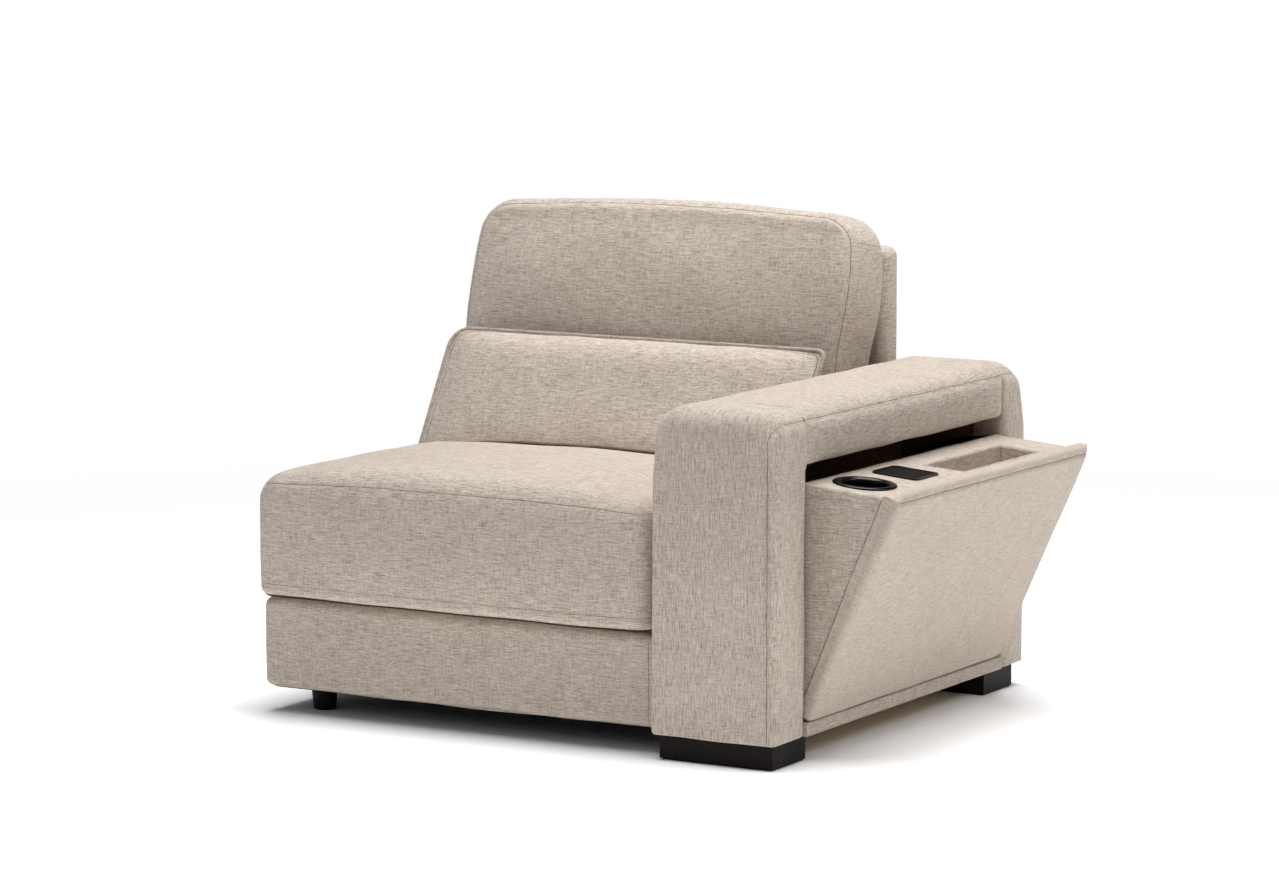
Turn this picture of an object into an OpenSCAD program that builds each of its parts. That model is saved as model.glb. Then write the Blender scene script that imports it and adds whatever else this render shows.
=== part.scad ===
// Right-arm sofa module whose arm holds a tilt-out console, drawn with the console open.
// Pieces are drawn with x from the joining face to the arm, y from the arm's front face to
// the rear and z up from the floor. The finished part is centred over its own footprint.

/* [Overall] */
// Width from the joining face to the arm
seat_w = 815; // [700:1:1000]
// Width of the arm
arm_w = 243; // [225:1:290]
// Depth from the arm's front face to its rear face
body_d = 975; // [920:1:1060]
// Height of the feet
foot_h = 43; // [30:1:80]
// Height of the arm above its underside
arm_h = 567; // [530:1:620]
// Height of the upholstered back frame above its underside
back_shell_h = 764; // [700:1:840]

/* [Seat] */
// Height of the upholstered base
base_h = 170; // [150:1:190]
// How far the base front lies behind the arm front
base_set_back = 37; // [25:1:60]
// How far the seat cushion front lies behind the arm front
seat_set_back = 4; // [2:1:30]
// Height of the seat cushion at its seam
seat_cushion_h = 220; // [180:1:250]
// Rise of the seat cushion's crown
seat_crown = 36; // [15:1:50]
// Radius of the seat cushion's top edge
seat_edge_r = 48; // [20:1:60]

/* [Back] */
// Height of the back cushion along its face
back_cushion_h = 440; // [380:1:500]
// Thickness of the back cushion at its seam
back_cushion_t = 118; // [90:1:150]
// Rise of the back cushion's face
back_crown = 35; // [15:1:45]
// Lean of the back cushion in degrees
back_lean = 9.5; // [7:0.5:12]
// Height of the loose lumbar cushion with its flange
lumbar_h = 229; // [180:1:260]
// Fullness of each side of the lumbar cushion
lumbar_crown = 54; // [30:1:58]
// Lean of the lumbar cushion in degrees
lumbar_lean = 29; // [26:1:32]

/* [Arm] */
// Thickness of the upholstery over the arm's timber
pad_t = 14; // [13:1:20]
// Depth of each arm post with its upholstery, along the arm
post_d = 114; // [100:1:130]
// Height of the padded arm top
arm_pad_h = 98; // [85:1:110]
// Radius of the arm's front top edge
arm_edge_r = 45; // [35:1:48]
// Radius of the arm's rear top edge
arm_rear_r = 76; // [60:1:80]

/* [Console] */
// Angle that the console tilts out in degrees
open_angle = 24; // [18:1:25]
// Gap between the closed console and the padded arm top
top_gap = 4; // [3:1:20]
// Slope of the tray against the closed panel's square in degrees
tray_slope = 19; // [15:1:22]
// Gap at each end of the console
end_gap = 6; // [5:0.5:9]
// Width of the cup holder's rim
cup_rim_d = 112; // [100:1:120]
// Inside width of the cup holder at its mouth
cup_bore_d = 82; // [74:1:88]
// Depth of the cup holder
cup_depth = 72; // [50:1:76]
// Side of the square charging pad
charger_w = 91; // [80:1:100]
// Length of the storage pocket
pocket_l = 312; // [200:1:320]
// Width of the storage pocket
pocket_w = 78; // [50:1:80]
// Depth of the storage pocket
pocket_depth = 70; // [50:1:72]

/* [Feet] */
// Length of a wooden foot, across the arm
wood_foot_l = 220; // [180:1:225]
// Width of a wooden foot, along the arm
wood_foot_w = 117; // [100:1:125]
// Diameter of a round foot
round_foot_d = 48; // [40:1:56]

/* [Hidden] */
$fn = 48;

// Colours of the cloth, timber, plastic and metal
cloth = "#b8ab9b";
cloth_lit = "#c9bdae";
lining_brown = "#3a2a1c";
timber = "#c8a878";
espresso = "#2a2220";
black = "#141414";
steel = "#9a9a9c";
felt = "#8c8880";

// Shared clearances
// Gap between a soft piece and its neighbour
soft_gap = 0.3;
// Overrun of every cut
cut = 1;
// Gap around a bolt in its hole
bolt_gap = 0.3;
bolt_r = 4;

// Points of a cushion's loops along a corner and a side, rings round its edge and over its face
loop_corner = 3;
loop_side = 7;
edge_steps = 3;
face_shares = [0.97, 0.9, 0.76, 0.56, 0.32];

// Upright levels
base_top = foot_h + base_h;
arm_top = foot_h + arm_h;
pad_bottom = arm_top - arm_pad_h;
shell_top = foot_h + back_shell_h;

// Timber and sheet thicknesses
rail_t = 25;
board_t = 18;
cambric_t = 1;
deck_t = 7;
side_pad_t = 10;

// Seat frame
front_pad_t = 20;
front_corner_r = 12;
front_edge_r = 13;
panel_swell = 3;
frame_z = foot_h + cambric_t;
clip_h = 7;
rail_top = base_top - deck_t - clip_h;
shell_t = 66;
shell_set_in = 4;
shell_y = body_d - shell_set_in - shell_t;
frame_y = base_set_back + front_pad_t + soft_gap;
frame_d = shell_y - soft_gap - frame_y;
block_w = 60;
block_h = 76;

// Seat springs
spring_count = 5;
spring_wire_r = 2;
spring_swing = 26;
spring_periods = 9;
spring_lead = 18;
spring_rings = 8;
spring_sides = 5;
clip_w = 16;
clip_l = 16;
clip_hole_r = 2.4;
spring_z = rail_top + clip_h / 2;
spring_pitch = (seat_w - 2 * rail_t) / spring_count;

// Seat cushion
seat_left = 8;
seat_right_gap = 9;
seat_bulge = 7;
seat_corner_r = 42;
seat_bottom_r = 20;
seat_rear_gap = 12;
seat_z = base_top + soft_gap;
seat_top = seat_z + seat_cushion_h;
seat_cushion_w = seat_w + seat_left - seat_right_gap;
seat_cushion_d = shell_y - seat_rear_gap - seat_set_back;
// Share of the seat's depth that the crown covers
seat_crown_share = 0.81;

// Back shell and its frame
shell_left = 6;
shell_right_gap = 27;
shell_w = seat_w + shell_left - shell_right_gap;
shell_wall = 10;
shell_edge_r = 20;
post_w = 45;
strap_t = 1.5;
strap_w = 60;
strap_count = 4;
back_rail_h = 70;

// Back cushion
back_cushion_left = 2;
back_right_gap = 23;
back_cushion_w = seat_w - back_cushion_left - back_right_gap;
back_corner_r = 68;
back_edge_r = 20;
back_bulge = 5;
back_rear_gap = 1.2;
back_tuck = back_edge_r * (cos(back_lean) + sin(back_lean) - 1);
back_bottom_z = seat_top + soft_gap + back_bulge / 2 - back_tuck;
back_rear_y = shell_y - back_rear_gap - (shell_top - back_bottom_z) * tan(back_lean);

// Lumbar cushion
lumbar_left = 2;
lumbar_right_gap = 33;
lumbar_w = seat_w - lumbar_left - lumbar_right_gap;
lumbar_corner_r = 26;
lumbar_flange = 10;
lumbar_flange_t = 7;
lumbar_rise = 34;
lumbar_lift = 2.2;
// Share of its own fullness by which the lumbar cushion's foot stands clear of the back cushion
lumbar_stand_share = 2.15;
lumbar_foot_y = back_rear_y - back_cushion_t - back_crown - lumbar_stand_share * lumbar_crown;

// Arm timber and covers
arm_x = seat_w + soft_gap;
arm_out = arm_x + arm_w;
core_x = arm_x + pad_t;
core_out = arm_out - pad_t;
wall_t = 15;
front_opening = post_d;
rear_post_less = 15;
rear_opening = body_d - post_d + rear_post_less;
front_core_y = pad_t;
front_core_end = front_opening - pad_t;
rear_core_y = rear_opening + pad_t;
rear_pad_t = 40;
rear_core_end = body_d - rear_pad_t;
beam_t = 36;
lining_t = 1.5;
floor_t = 18;
rail_pad_t = 9.5;
rail_lip = 1.5;
rail_edge_r = 4;
inner_board_out = core_x + board_t;
cavity_x = inner_board_out + lining_t;
arm_side_r = 24;
arm_base_r = 8;
pad_side_r = 34;
pad_crown = 8;
pad_bulge = 3;

// Hinge line of the console, with the closed panel's faces measured from it
hinge_in = 13.3;
knuckle_r = 4;
leaf_t = 1.2;
leaf_w = 34;
pin_r = 2;
pin_gap = 0.05;
knuckle_count = 15;
knuckle_gap = 0.4;
leaf_clear = 0.5;
hinge_x = arm_out - hinge_in;
hinge_z = foot_h + cambric_t + floor_t + knuckle_r;
floor_out = hinge_x + knuckle_r + leaf_clear;
floor_z = foot_h + cambric_t;

// Console box, in the closed pose, from the hinge line
console_y = front_opening + end_gap;
console_end = rear_opening - end_gap;
console_l = console_end - console_y;
knuckle_l = console_l / knuckle_count;
panel_out = 12;
panel_foot = 4.8;
panel_edge_r = 9;
panel_lip = 12;
panel_top = pad_bottom - top_gap - hinge_z;
outer_board_t = 12;
board_out = -(knuckle_r - leaf_t);
board_in = board_out - outer_board_t;
board_foot = 7;
cheek_t = 12;
end_cover_t = 2.7;
inner_board_t = 9;
inner_cover_t = 1.2;
tray_board_t = 12;
tray_cover_t = 5.7;
tray_drop = 14;
tray_clear = 23.7;
tray_u = cavity_x + tray_clear - hinge_x;
tray_outer_gap = 6;
tray_out_u = board_in - tray_outer_gap;
tray_w = panel_top - tray_drop - (tray_out_u - tray_u) * tan(tray_slope);
inner_foot_in = 1.5;
inner_foot_up = 7;
inner_foot_u = board_in - inner_foot_in;
inner_foot_w = board_foot + inner_foot_up;
inner_tilt = atan2(inner_foot_u - tray_u, tray_w - inner_foot_w);
inner_len = norm([inner_foot_u - tray_u, tray_w - inner_foot_w]);
inner_start = (inner_board_t * cos(inner_tilt) - inner_foot_in) / sin(inner_tilt);
inner_under = (tray_board_t + tray_cover_t) / cos(inner_tilt - tray_slope);
tray_len = (tray_out_u - tray_u) / cos(tray_slope);

// Fittings in the tray: shares of its slope's length, and of the console's length from its front end
fitting_share = 0.5;
cup_share = 0.11;
charger_share = 0.313;
pocket_share = 0.455;
fitting_s = tray_len * fitting_share;
cup_y = console_l * cup_share;
charger_y = console_l * charger_share;
pocket_y = console_l * pocket_share;
pocket_s = 60;
cup_wall = 2.5;
cup_taper = 3;
cup_rim_h = 4.5;
fitting_gap = 0.3;
charger_corner_r = 11;
charger_t = 3;
charger_rim = 4;
charger_body_w = 68;
charger_body_h = 24;
charger_sink = 1;
liner_wall = 2.5;

// Stay pins on the cheeks, running in curved tracks about the hinge line
stay_in = 3.7;
stay_drop = 21.8;
stay_pin_r = 4;
stay_pin_gap = 0.05;
ear_r = 11;
ear_half = 17;
track_t = 2;
track_gap = 0.3;
track_in = 20;
track_out = 14;
track_end = 12;
stay_u = tray_u - stay_in;
stay_w = tray_w - stay_drop;
stay_r = norm([stay_u, stay_w]);
stay_angle = atan2(-stay_u, stay_w);
lining_set_in = 49;
lining_end = hinge_x - lining_set_in;

// Feet, studs and bolts
round_foot_x = 70;
foot_in = 12;
rear_foot_in = 36;
foot_edge_r = 3;
stud_l = 60;
stud_sink = 30;
arm_bolt_l = 56;
arm_bolt_front = 250;
arm_bolt_rear = 275;
arm_bolt_low = 47;
arm_bolt_high = 117;
arm_bolt_y = [arm_bolt_front, body_d - arm_bolt_rear];
arm_bolt_z = [foot_h + arm_bolt_low, foot_h + arm_bolt_high];
back_bolt_l = 68;
back_bolt_left = 38;
back_bolt_right = 67;
back_bolt_low = 63;
back_bolt_high = 31;
back_bolt_x = [back_bolt_left, seat_w - back_bolt_right];
back_bolt_z = [base_top - back_bolt_low, base_top - back_bolt_high];
head_r = 7.5;
head_h = 6;
bracket_l = 110;
bracket_h = 60;
bracket_t = 3;
bracket_hole_r = 4.2;
bracket_spacing = 80;
bracket_front = 200;
bracket_rear = 275;
bracket_y = [bracket_front, body_d - bracket_rear];
bracket_up = 87;
bracket_z = foot_h + bracket_up;
keyhole_r = 8;
keyhole_slot = 9;
inlet_w = 48;
inlet_h = 30;
inlet_flange_t = 2;
inlet_body_w = 40;
inlet_body_h = 22;
inlet_depth = 24;
inlet_up = 50;
socket_w = 20;
socket_h = 11;
socket_depth = 12;
contact_r = 1.2;
contact_space = 7;

// Centre of the footprint, with the console open
low_x = -seat_left - seat_bulge;
high_x = hinge_x + panel_out * cos(open_angle) + panel_top * sin(open_angle);
centre = [(low_x + high_x) / 2, body_d / 2, 0];

// Box between two corners, grown all round by a clearance
module block(low, high, grow = 0) {
    by = [grow, grow, grow];
    translate(low - by) cube(high - low + 2 * by);
}

// Block with every edge rounded
module soft_block(low, high, r) {
    hull() {
        for (x = [low[0] + r, high[0] - r], y = [low[1] + r, high[1] - r]) {
            for (z = [low[2] + r, high[2] - r]) {
                translate([x, y, z]) sphere(r = r, $fn = 20);
            }
        }
    }
}

// Places the drawing frame over the footprint's centre
module placed() {
    translate(-centre) children();
}

// Places what is drawn from the hinge line in the closed pose into the open rest pose
module on_console() {
    placed() translate([hinge_x, 0, hinge_z]) rotate([0, open_angle, 0]) children();
}

// Places what is drawn on the tray: x outward from its inner edge, z square out of its face
module on_tray(s, y) {
    translate([tray_u, console_y + y, tray_w]) rotate([0, -tray_slope, 0])
        translate([s, 0, 0]) children();
}

// Point on a rounded rectangle's corner, counted anticlockwise
function corner_point(half, r, q, t) =
    let (sx = (q == 0 || q == 3) ? 1 : -1, sy = (q < 2) ? 1 : -1, a = 90 * (q + t))
    [sx * (half[0] - r) + r * cos(a), sy * (half[1] - r) + r * sin(a)];

// Loop of points round a rounded rectangle
function rounded_loop(half, r) = [
    for (q = [0:3]) each concat(
        [for (i = [0:loop_corner]) corner_point(half, r, q, i / loop_corner)],
        [for (j = [1:loop_side])
            let (t = j / (loop_side + 1))
            (1 - t) * corner_point(half, r, q, 1) + t * corner_point(half, r, (q + 1) % 4, 0)])
];

// Loop whose straight sides swell outward by bow
function swollen_loop(half, r, bow) = [
    for (p = rounded_loop(half, r))
        let (u = p[0] / half[0], v = p[1] / half[1])
        [p[0] + bow * u * (1 - v * v), p[1] + bow * v * (1 - u * u)]
];

// Height of a crown at a point: zero on the edge and level near the middle
function crown_at(p, crown, half, power) =
    crown * max(0, 1 - pow(min(1, abs(p[0]) / half[0]), power))
    * max(0, 1 - pow(min(1, abs(p[1]) / half[1]), power));

// Skin over a stack of rings of equal count, closed by a fan at each end
module ringed_skin(rings) {
    n = len(rings[0]);
    m = len(rings);
    function middle(ring) = [for (k = [0:2]) (min([for (p = ring) p[k]]) + max([for (p = ring) p[k]])) / 2];
    points = concat([for (ring = rings) each ring], [middle(rings[0]), middle(rings[m - 1])]);
    sides = [
        for (k = [0:m - 2], i = [0:n - 1])
            let (a = k * n + i, b = k * n + (i + 1) % n)
            each [[a, b + n, b], [a, a + n, b + n]]
    ];
    bottom = [for (i = [0:n - 1]) [m * n, i, (i + 1) % n]];
    top = [for (i = [0:n - 1]) [m * n + 1, (m - 1) * n + (i + 1) % n, (m - 1) * n + i]];
    polyhedron(points = points, faces = concat(sides, bottom, top), convexity = 6);
}

// Cushion lying flat: size is width, depth and seam height. Its edges are rounded, its sides
// swell, and its two faces rise to crowns over the half sizes given about a shifted middle.
module cushion(size, corner_r, low_r, high_r, bulge, crown, low_crown = 0, power = 2.4,
               crown_half = undef, crown_mid = 0, margin = 0, rise = 0) {
    half = [size[0] / 2, size[1] / 2];
    reach = is_undef(crown_half) ? half - [margin, margin] : [half[0] - margin, crown_half];
    function ring(inset, bow, z, low_share, high_share, shrink = 1) = [
        for (p = swollen_loop(half - [inset, inset], max(corner_r - inset, corner_r / 4), bow))
            let (q = shrink * p, c = q - [0, crown_mid],
                 lift = rise * (1 - pow(q[0] / half[0], 2)) * (half[1] - q[1]) / (2 * half[1]))
            [q[0], q[1] + lift, z + high_share * crown_at(c, crown, reach, power)
                - low_share * crown_at(c, low_crown, reach, power)]
    ];
    low_face = low_crown > 0 ? [
        for (k = [len(face_shares) - 1:-1:0]) ring(low_r, 0, 0, 1, 0, face_shares[k])
    ] : [];
    low_edge = [for (k = [0:edge_steps])
        let (a = 90 * k / edge_steps)
        ring(low_r * (1 - sin(a)), bulge * sin(a) / 2, low_r * (1 - cos(a)), 1 - sin(a), 0)];
    middle = bulge > 0 ? [ring(0, bulge, size[2] / 2, 0, 0)] : [];
    high_edge = [for (k = [0:edge_steps])
        let (a = 90 * k / edge_steps)
        ring(high_r * (1 - cos(a)), bulge * cos(a) / 2, size[2] - high_r * (1 - sin(a)), 0, sin(a))];
    high_face = [for (f = face_shares) ring(high_r, 0, size[2], 0, 1, f)];
    ringed_skin(concat(low_face, low_edge, middle, high_edge, high_face));
}

// Zigzag spring wire along y, from its front clip to its rear clip
function spring_path(length) = concat(
    [[0, 0], [0, spring_lead]],
    [for (k = [1:spring_periods * spring_rings - 1])
        let (a = 360 * k / spring_rings, run = length - 2 * spring_lead)
        [spring_swing * sin(a), spring_lead + run * k / (spring_periods * spring_rings)
            + spring_swing / 4 * sin(2 * a)]],
    [[0, length - spring_lead], [0, length]]
);

module spring(length) {
    path = spring_path(length);
    last = len(path) - 1;
    rings = [
        for (k = [0:last])
            let (d = path[min(k + 1, last)] - path[max(k - 1, 0)], n = [d[1], -d[0]] / norm(d))
            [for (i = [0:spring_sides - 1])
                let (a = -360 * i / spring_sides)
                [path[k][0] + spring_wire_r * cos(a) * n[0],
                 path[k][1] + spring_wire_r * cos(a) * n[1],
                 spring_wire_r * sin(a)]]
    ];
    ringed_skin(rings);
}

// Bolt along z with a hexagonal head below zero
module hex_bolt(length) {
    cylinder(r = bolt_r, h = length);
    translate([0, 0, -head_h]) cylinder(r = head_r, h = head_h, $fn = 6);
}

module arm_bolt_places() {
    for (y = arm_bolt_y, z = arm_bolt_z) {
        translate([seat_w - rail_t, y, z]) rotate([0, 90, 0]) children();
    }
}

module back_bolt_places() {
    for (x = back_bolt_x, z = back_bolt_z) {
        translate([x, shell_y - soft_gap - rail_t, z]) rotate([-90, 0, 0]) children();
    }
}

module bracket_places() {
    for (y = bracket_y) {
        translate([-side_pad_t, y, bracket_z]) children();
    }
}

module stud_places() {
    wood_x = (core_x + core_out) / 2;
    for (x = [wood_x - wood_foot_l / 4, wood_x + wood_foot_l / 4]) {
        for (y = [foot_in + wood_foot_w / 2, rear_core_y + (rear_core_end - rear_core_y) / 2]) {
            translate([x, y, foot_h - stud_sink]) children();
        }
    }
    for (y = [frame_y + rail_t + block_w / 2, frame_y + frame_d - rail_t - block_w / 2]) {
        translate([round_foot_x, y, foot_h - stud_sink]) children();
    }
}

// Holes for the feet's studs, from below
module stud_holes() {
    stud_places() translate([0, 0, -bolt_gap])
        cylinder(r = bolt_r + bolt_gap, h = stud_l + 2 * bolt_gap);
}

module bolt_holes(length) {
    translate([0, 0, -cut]) cylinder(r = bolt_r + bolt_gap, h = length + 2 * cut);
}

// Joining bolts' holes in the side of the base, along x
module bracket_holes(depth) {
    bracket_places() {
        for (y = [-bracket_spacing / 2, bracket_spacing / 2]) {
            translate([-bracket_t - cut, y, 0]) rotate([0, 90, 0])
                cylinder(r = bracket_hole_r, h = depth + 2 * cut);
        }
    }
}

// Seat unit
module seat_front_rail() {
    placed() color(timber) block([rail_t, frame_y, frame_z], [seat_w - rail_t, frame_y + rail_t, rail_top]);
}

module seat_rear_rail() {
    y = frame_y + frame_d - rail_t;
    placed() color(timber) difference() {
        block([rail_t, y, frame_z], [seat_w - rail_t, y + rail_t, rail_top]);
        back_bolt_places() bolt_holes(rail_t);
    }
}

module seat_left_rail() {
    placed() color(timber) difference() {
        union() {
            block([0, frame_y, frame_z], [rail_t, frame_y + frame_d, rail_top]);
            for (y = [frame_y + rail_t, frame_y + frame_d - rail_t - block_w]) {
                block([rail_t, y, frame_z], [round_foot_x + block_w / 2, y + block_w, frame_z + block_h]);
            }
        }
        stud_holes();
        bracket_holes(side_pad_t + rail_t + bracket_t);
    }
}

module seat_right_rail() {
    placed() color(timber) difference() {
        block([seat_w - rail_t, frame_y, frame_z], [seat_w, frame_y + frame_d, rail_top]);
        arm_bolt_places() bolt_holes(rail_t);
    }
}

module spring_row() {
    for (i = [0:spring_count - 1]) {
        translate([rail_t + spring_pitch * (i + 0.5), frame_y, spring_z]) children();
    }
}

module seat_springs() {
    inset = (rail_t - clip_l) / 2;
    placed() color(steel) spring_row() translate([0, inset, 0]) spring(frame_d - 2 * inset);
}

module spring_clips() {
    placed() color(steel) spring_row() {
        for (y = [rail_t / 2, frame_d - rail_t / 2]) {
            difference() {
                block([-clip_w / 2, y - clip_l / 2, -clip_h / 2],
                    [clip_w / 2, y + clip_l / 2, clip_h / 2]);
                translate([0, y - clip_l, 0]) rotate([-90, 0, 0]) cylinder(r = clip_hole_r, h = 2 * clip_l);
            }
        }
    }
}

module seat_deck() {
    placed() color(felt) block([0, frame_y, base_top - deck_t], [seat_w, frame_y + frame_d, base_top]);
}

module dust_cover() {
    placed() color(black) difference() {
        block([0, frame_y, foot_h], [seat_w, frame_y + frame_d, frame_z]);
        stud_holes();
    }
}

module base_front_panel() {
    wide = seat_w + seat_left - soft_gap - 2 * panel_swell;
    tall = base_h - 2 * panel_swell;
    middle_x = (seat_w - seat_left - soft_gap) / 2 - panel_swell;
    middle_z = (foot_h + base_top) / 2;
    placed() color(cloth) translate([middle_x, base_set_back + front_pad_t, middle_z]) rotate([90, 0, 0])
        cushion([wide, tall, front_pad_t - panel_swell], front_corner_r, panel_swell, front_edge_r,
            panel_swell, panel_swell, power = 6);
}

module base_side_panel() {
    placed() color(cloth) difference() {
        block([-side_pad_t, frame_y, foot_h], [-soft_gap, frame_y + frame_d, base_top]);
        bracket_holes(side_pad_t + rail_t);
    }
}

module seat_cushion() {
    crown_d = seat_cushion_d * seat_crown_share;
    placed() color(cloth_lit)
        translate([(seat_w - seat_right_gap - seat_left) / 2, seat_set_back + seat_cushion_d / 2, seat_z])
        cushion([seat_cushion_w, seat_cushion_d, seat_cushion_h], seat_corner_r, seat_bottom_r,
            seat_edge_r, seat_bulge, seat_crown,
            crown_half = crown_d / 2, crown_mid = (crown_d - seat_cushion_d) / 2);
}

// Back
module back_frame() {
    low_y = shell_y + shell_wall + soft_gap + strap_t;
    high_y = shell_y + shell_t - shell_wall - soft_gap;
    x0 = shell_wall + soft_gap - shell_left;
    x1 = shell_w - shell_left - shell_wall - soft_gap;
    top = shell_top - shell_wall - soft_gap;
    placed() color(timber) difference() {
        union() {
            for (x = [x0, x1 - post_w]) {
                block([x, low_y, frame_z], [x + post_w, high_y, top]);
            }
            for (z = [frame_z, base_top + back_rail_h, top - back_rail_h]) {
                block([x0 + post_w, low_y, z], [x1 - post_w, high_y, z + back_rail_h]);
            }
        }
        back_bolt_places() bolt_holes(back_bolt_l);
    }
}

module back_webbing() {
    low = base_top + 2 * back_rail_h;
    high = shell_top - shell_wall - 2 * back_rail_h;
    x0 = shell_wall + soft_gap - shell_left;
    x1 = shell_w - shell_left - shell_wall - soft_gap;
    y = shell_y + shell_wall + soft_gap;
    placed() color(black) for (i = [0:strap_count - 1]) {
        z = low + (high - low) * i / (strap_count - 1);
        block([x0, y, z - strap_w / 2], [x1, y + strap_t, z + strap_w / 2]);
    }
}

module back_shell() {
    placed() color(cloth) difference() {
        hull() {
            for (x = [shell_edge_r - shell_left, shell_w - shell_left - shell_edge_r]) {
                for (y = [shell_y + shell_edge_r, shell_y + shell_t - shell_edge_r]) {
                    translate([x, y, shell_top - shell_edge_r]) sphere(r = shell_edge_r, $fn = 20);
                    translate([x, y, foot_h]) cylinder(r = shell_edge_r, h = cut, $fn = 20);
                }
            }
        }
        block([shell_wall - shell_left, shell_y + shell_wall, foot_h - cut],
            [shell_w - shell_left - shell_wall, shell_y + shell_t - shell_wall, shell_top - shell_wall]);
        back_bolt_places() bolt_holes(rail_t + shell_wall + soft_gap);
    }
}

module back_cushion() {
    placed() color(cloth)
        translate([back_cushion_left + back_cushion_w / 2, back_rear_y, back_bottom_z])
        rotate([90 - back_lean, 0, 0])
        translate([0, back_cushion_h / 2, 0])
        cushion([back_cushion_w, back_cushion_h, back_cushion_t], back_corner_r,
            back_edge_r, back_edge_r, back_bulge, back_crown);
}

module lumbar_cushion() {
    placed() color(cloth)
        translate([lumbar_left + lumbar_w / 2, lumbar_foot_y, seat_top + lumbar_lift])
        rotate([90 - lumbar_lean, 0, 0])
        translate([0, lumbar_h / 2, 0])
        cushion([lumbar_w, lumbar_h, lumbar_flange_t], lumbar_corner_r,
            lumbar_flange_t / 3, lumbar_flange_t / 3, 0, lumbar_crown, low_crown = lumbar_crown,
            power = 2.8, margin = lumbar_flange, rise = lumbar_rise);
}

// Timber of the arm, each grown by a clearance where a cover is cut for it
module front_post_space(grow = 0) {
    block([core_x, front_core_y, foot_h], [core_out, front_core_end, pad_bottom], grow);
}

module rear_post_space(grow = 0) {
    block([core_x, rear_core_y, foot_h], [core_out, rear_core_end, pad_bottom], grow);
}

module inner_board_space(grow = 0) {
    block([core_x, front_core_end, foot_h], [inner_board_out, rear_core_y, pad_bottom], grow);
}

module beam_space(grow = 0) {
    block([core_x, front_core_y, pad_bottom], [core_out, rear_core_end, pad_bottom + beam_t], grow);
}

module floor_space(grow = 0) {
    block([inner_board_out, front_core_end, floor_z], [floor_out, rear_core_y, floor_z + floor_t], grow);
}

// Hollow of the arm's covers, open below for the feet
module arm_timber_space() {
    front_post_space(soft_gap);
    rear_post_space(soft_gap);
    inner_board_space(soft_gap);
    beam_space(soft_gap);
    floor_space(soft_gap);
    translate([0, 0, -cut]) {
        front_post_space();
        rear_post_space();
        inner_board_space();
    }
}

module box_post(low, high) {
    wall = [wall_t, wall_t, 0];
    difference() {
        block(low, high);
        block(low + wall + [0, 0, board_t], high - wall + [0, 0, cut]);
        stud_holes();
    }
}

module arm_front_post() {
    placed() color(timber)
        box_post([core_x, front_core_y, foot_h], [core_out, front_core_end, pad_bottom]);
}

module arm_rear_post() {
    placed() color(timber)
        box_post([core_x, rear_core_y, foot_h], [core_out, rear_core_end, pad_bottom]);
}

module arm_inner_board() {
    placed() color(timber) difference() {
        inner_board_space();
        arm_bolt_places() bolt_holes(arm_bolt_l);
    }
}

module arm_top_beam() {
    placed() color(timber) beam_space();
}

module arm_floor_board() {
    placed() color(timber) floor_space();
}

// Pair of thin discs across the arm, upright at the foot of a cover or facing along the arm
module foot_discs(r, y) {
    for (x = [arm_x + r, arm_out - r]) {
        translate([x, y, foot_h + soft_gap]) cylinder(r = r, h = cut, $fn = 24);
    }
}

module top_discs(y) {
    for (x = [arm_x + arm_edge_r, arm_out - arm_edge_r]) {
        translate([x, y, arm_top - arm_edge_r]) rotate([-90, 0, 0])
            cylinder(r = arm_edge_r, h = cut, $fn = 24);
    }
}

module top_spheres(r, y, faces) {
    for (x = [arm_x + r, arm_out - r]) {
        translate([x, y, arm_top - r]) sphere(r = r, $fn = faces);
    }
}

module arm_front_cover() {
    placed() color(cloth) difference() {
        hull() {
            top_spheres(arm_edge_r, arm_edge_r, 24);
            top_discs(front_opening - cut);
            foot_discs(arm_side_r, arm_side_r);
            foot_discs(arm_base_r, front_opening - arm_base_r);
        }
        arm_timber_space();
    }
}

module arm_rear_cover() {
    placed() color(cloth) difference() {
        hull() {
            top_spheres(arm_rear_r, body_d - arm_rear_r, 28);
            top_discs(rear_opening);
            foot_discs(arm_side_r, body_d - arm_side_r);
            foot_discs(arm_base_r, rear_opening + arm_base_r);
        }
        block([arm_x - cut, 0, 0], [arm_out + cut, rear_opening, arm_top + cut]);
        arm_timber_space();
        inlet_space();
    }
}

module arm_top_pad() {
    y0 = front_opening + soft_gap;
    y1 = rear_opening - soft_gap;
    placed() color(cloth_lit) difference() {
        intersection() {
            translate([(arm_x + arm_out) / 2, (y0 + y1) / 2, pad_bottom])
                cushion([arm_w - 2 * pad_bulge, y1 - y0 + 2 * pad_side_r, arm_pad_h - pad_crown],
                    arm_base_r, pad_side_r, pad_side_r, pad_bulge, pad_crown, power = 4);
            block([arm_x - cut, y0, pad_bottom - cut], [arm_out + cut, y1, arm_top + cut]);
        }
        translate([0, 0, -cut]) beam_space(soft_gap);
        beam_space(soft_gap);
    }
}

module arm_inner_cover() {
    placed() color(cloth) difference() {
        block([arm_x, front_opening + soft_gap, foot_h],
            [core_x - soft_gap, rear_opening - soft_gap, pad_bottom - soft_gap]);
        arm_bolt_places() bolt_holes(arm_bolt_l);
    }
}

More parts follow.
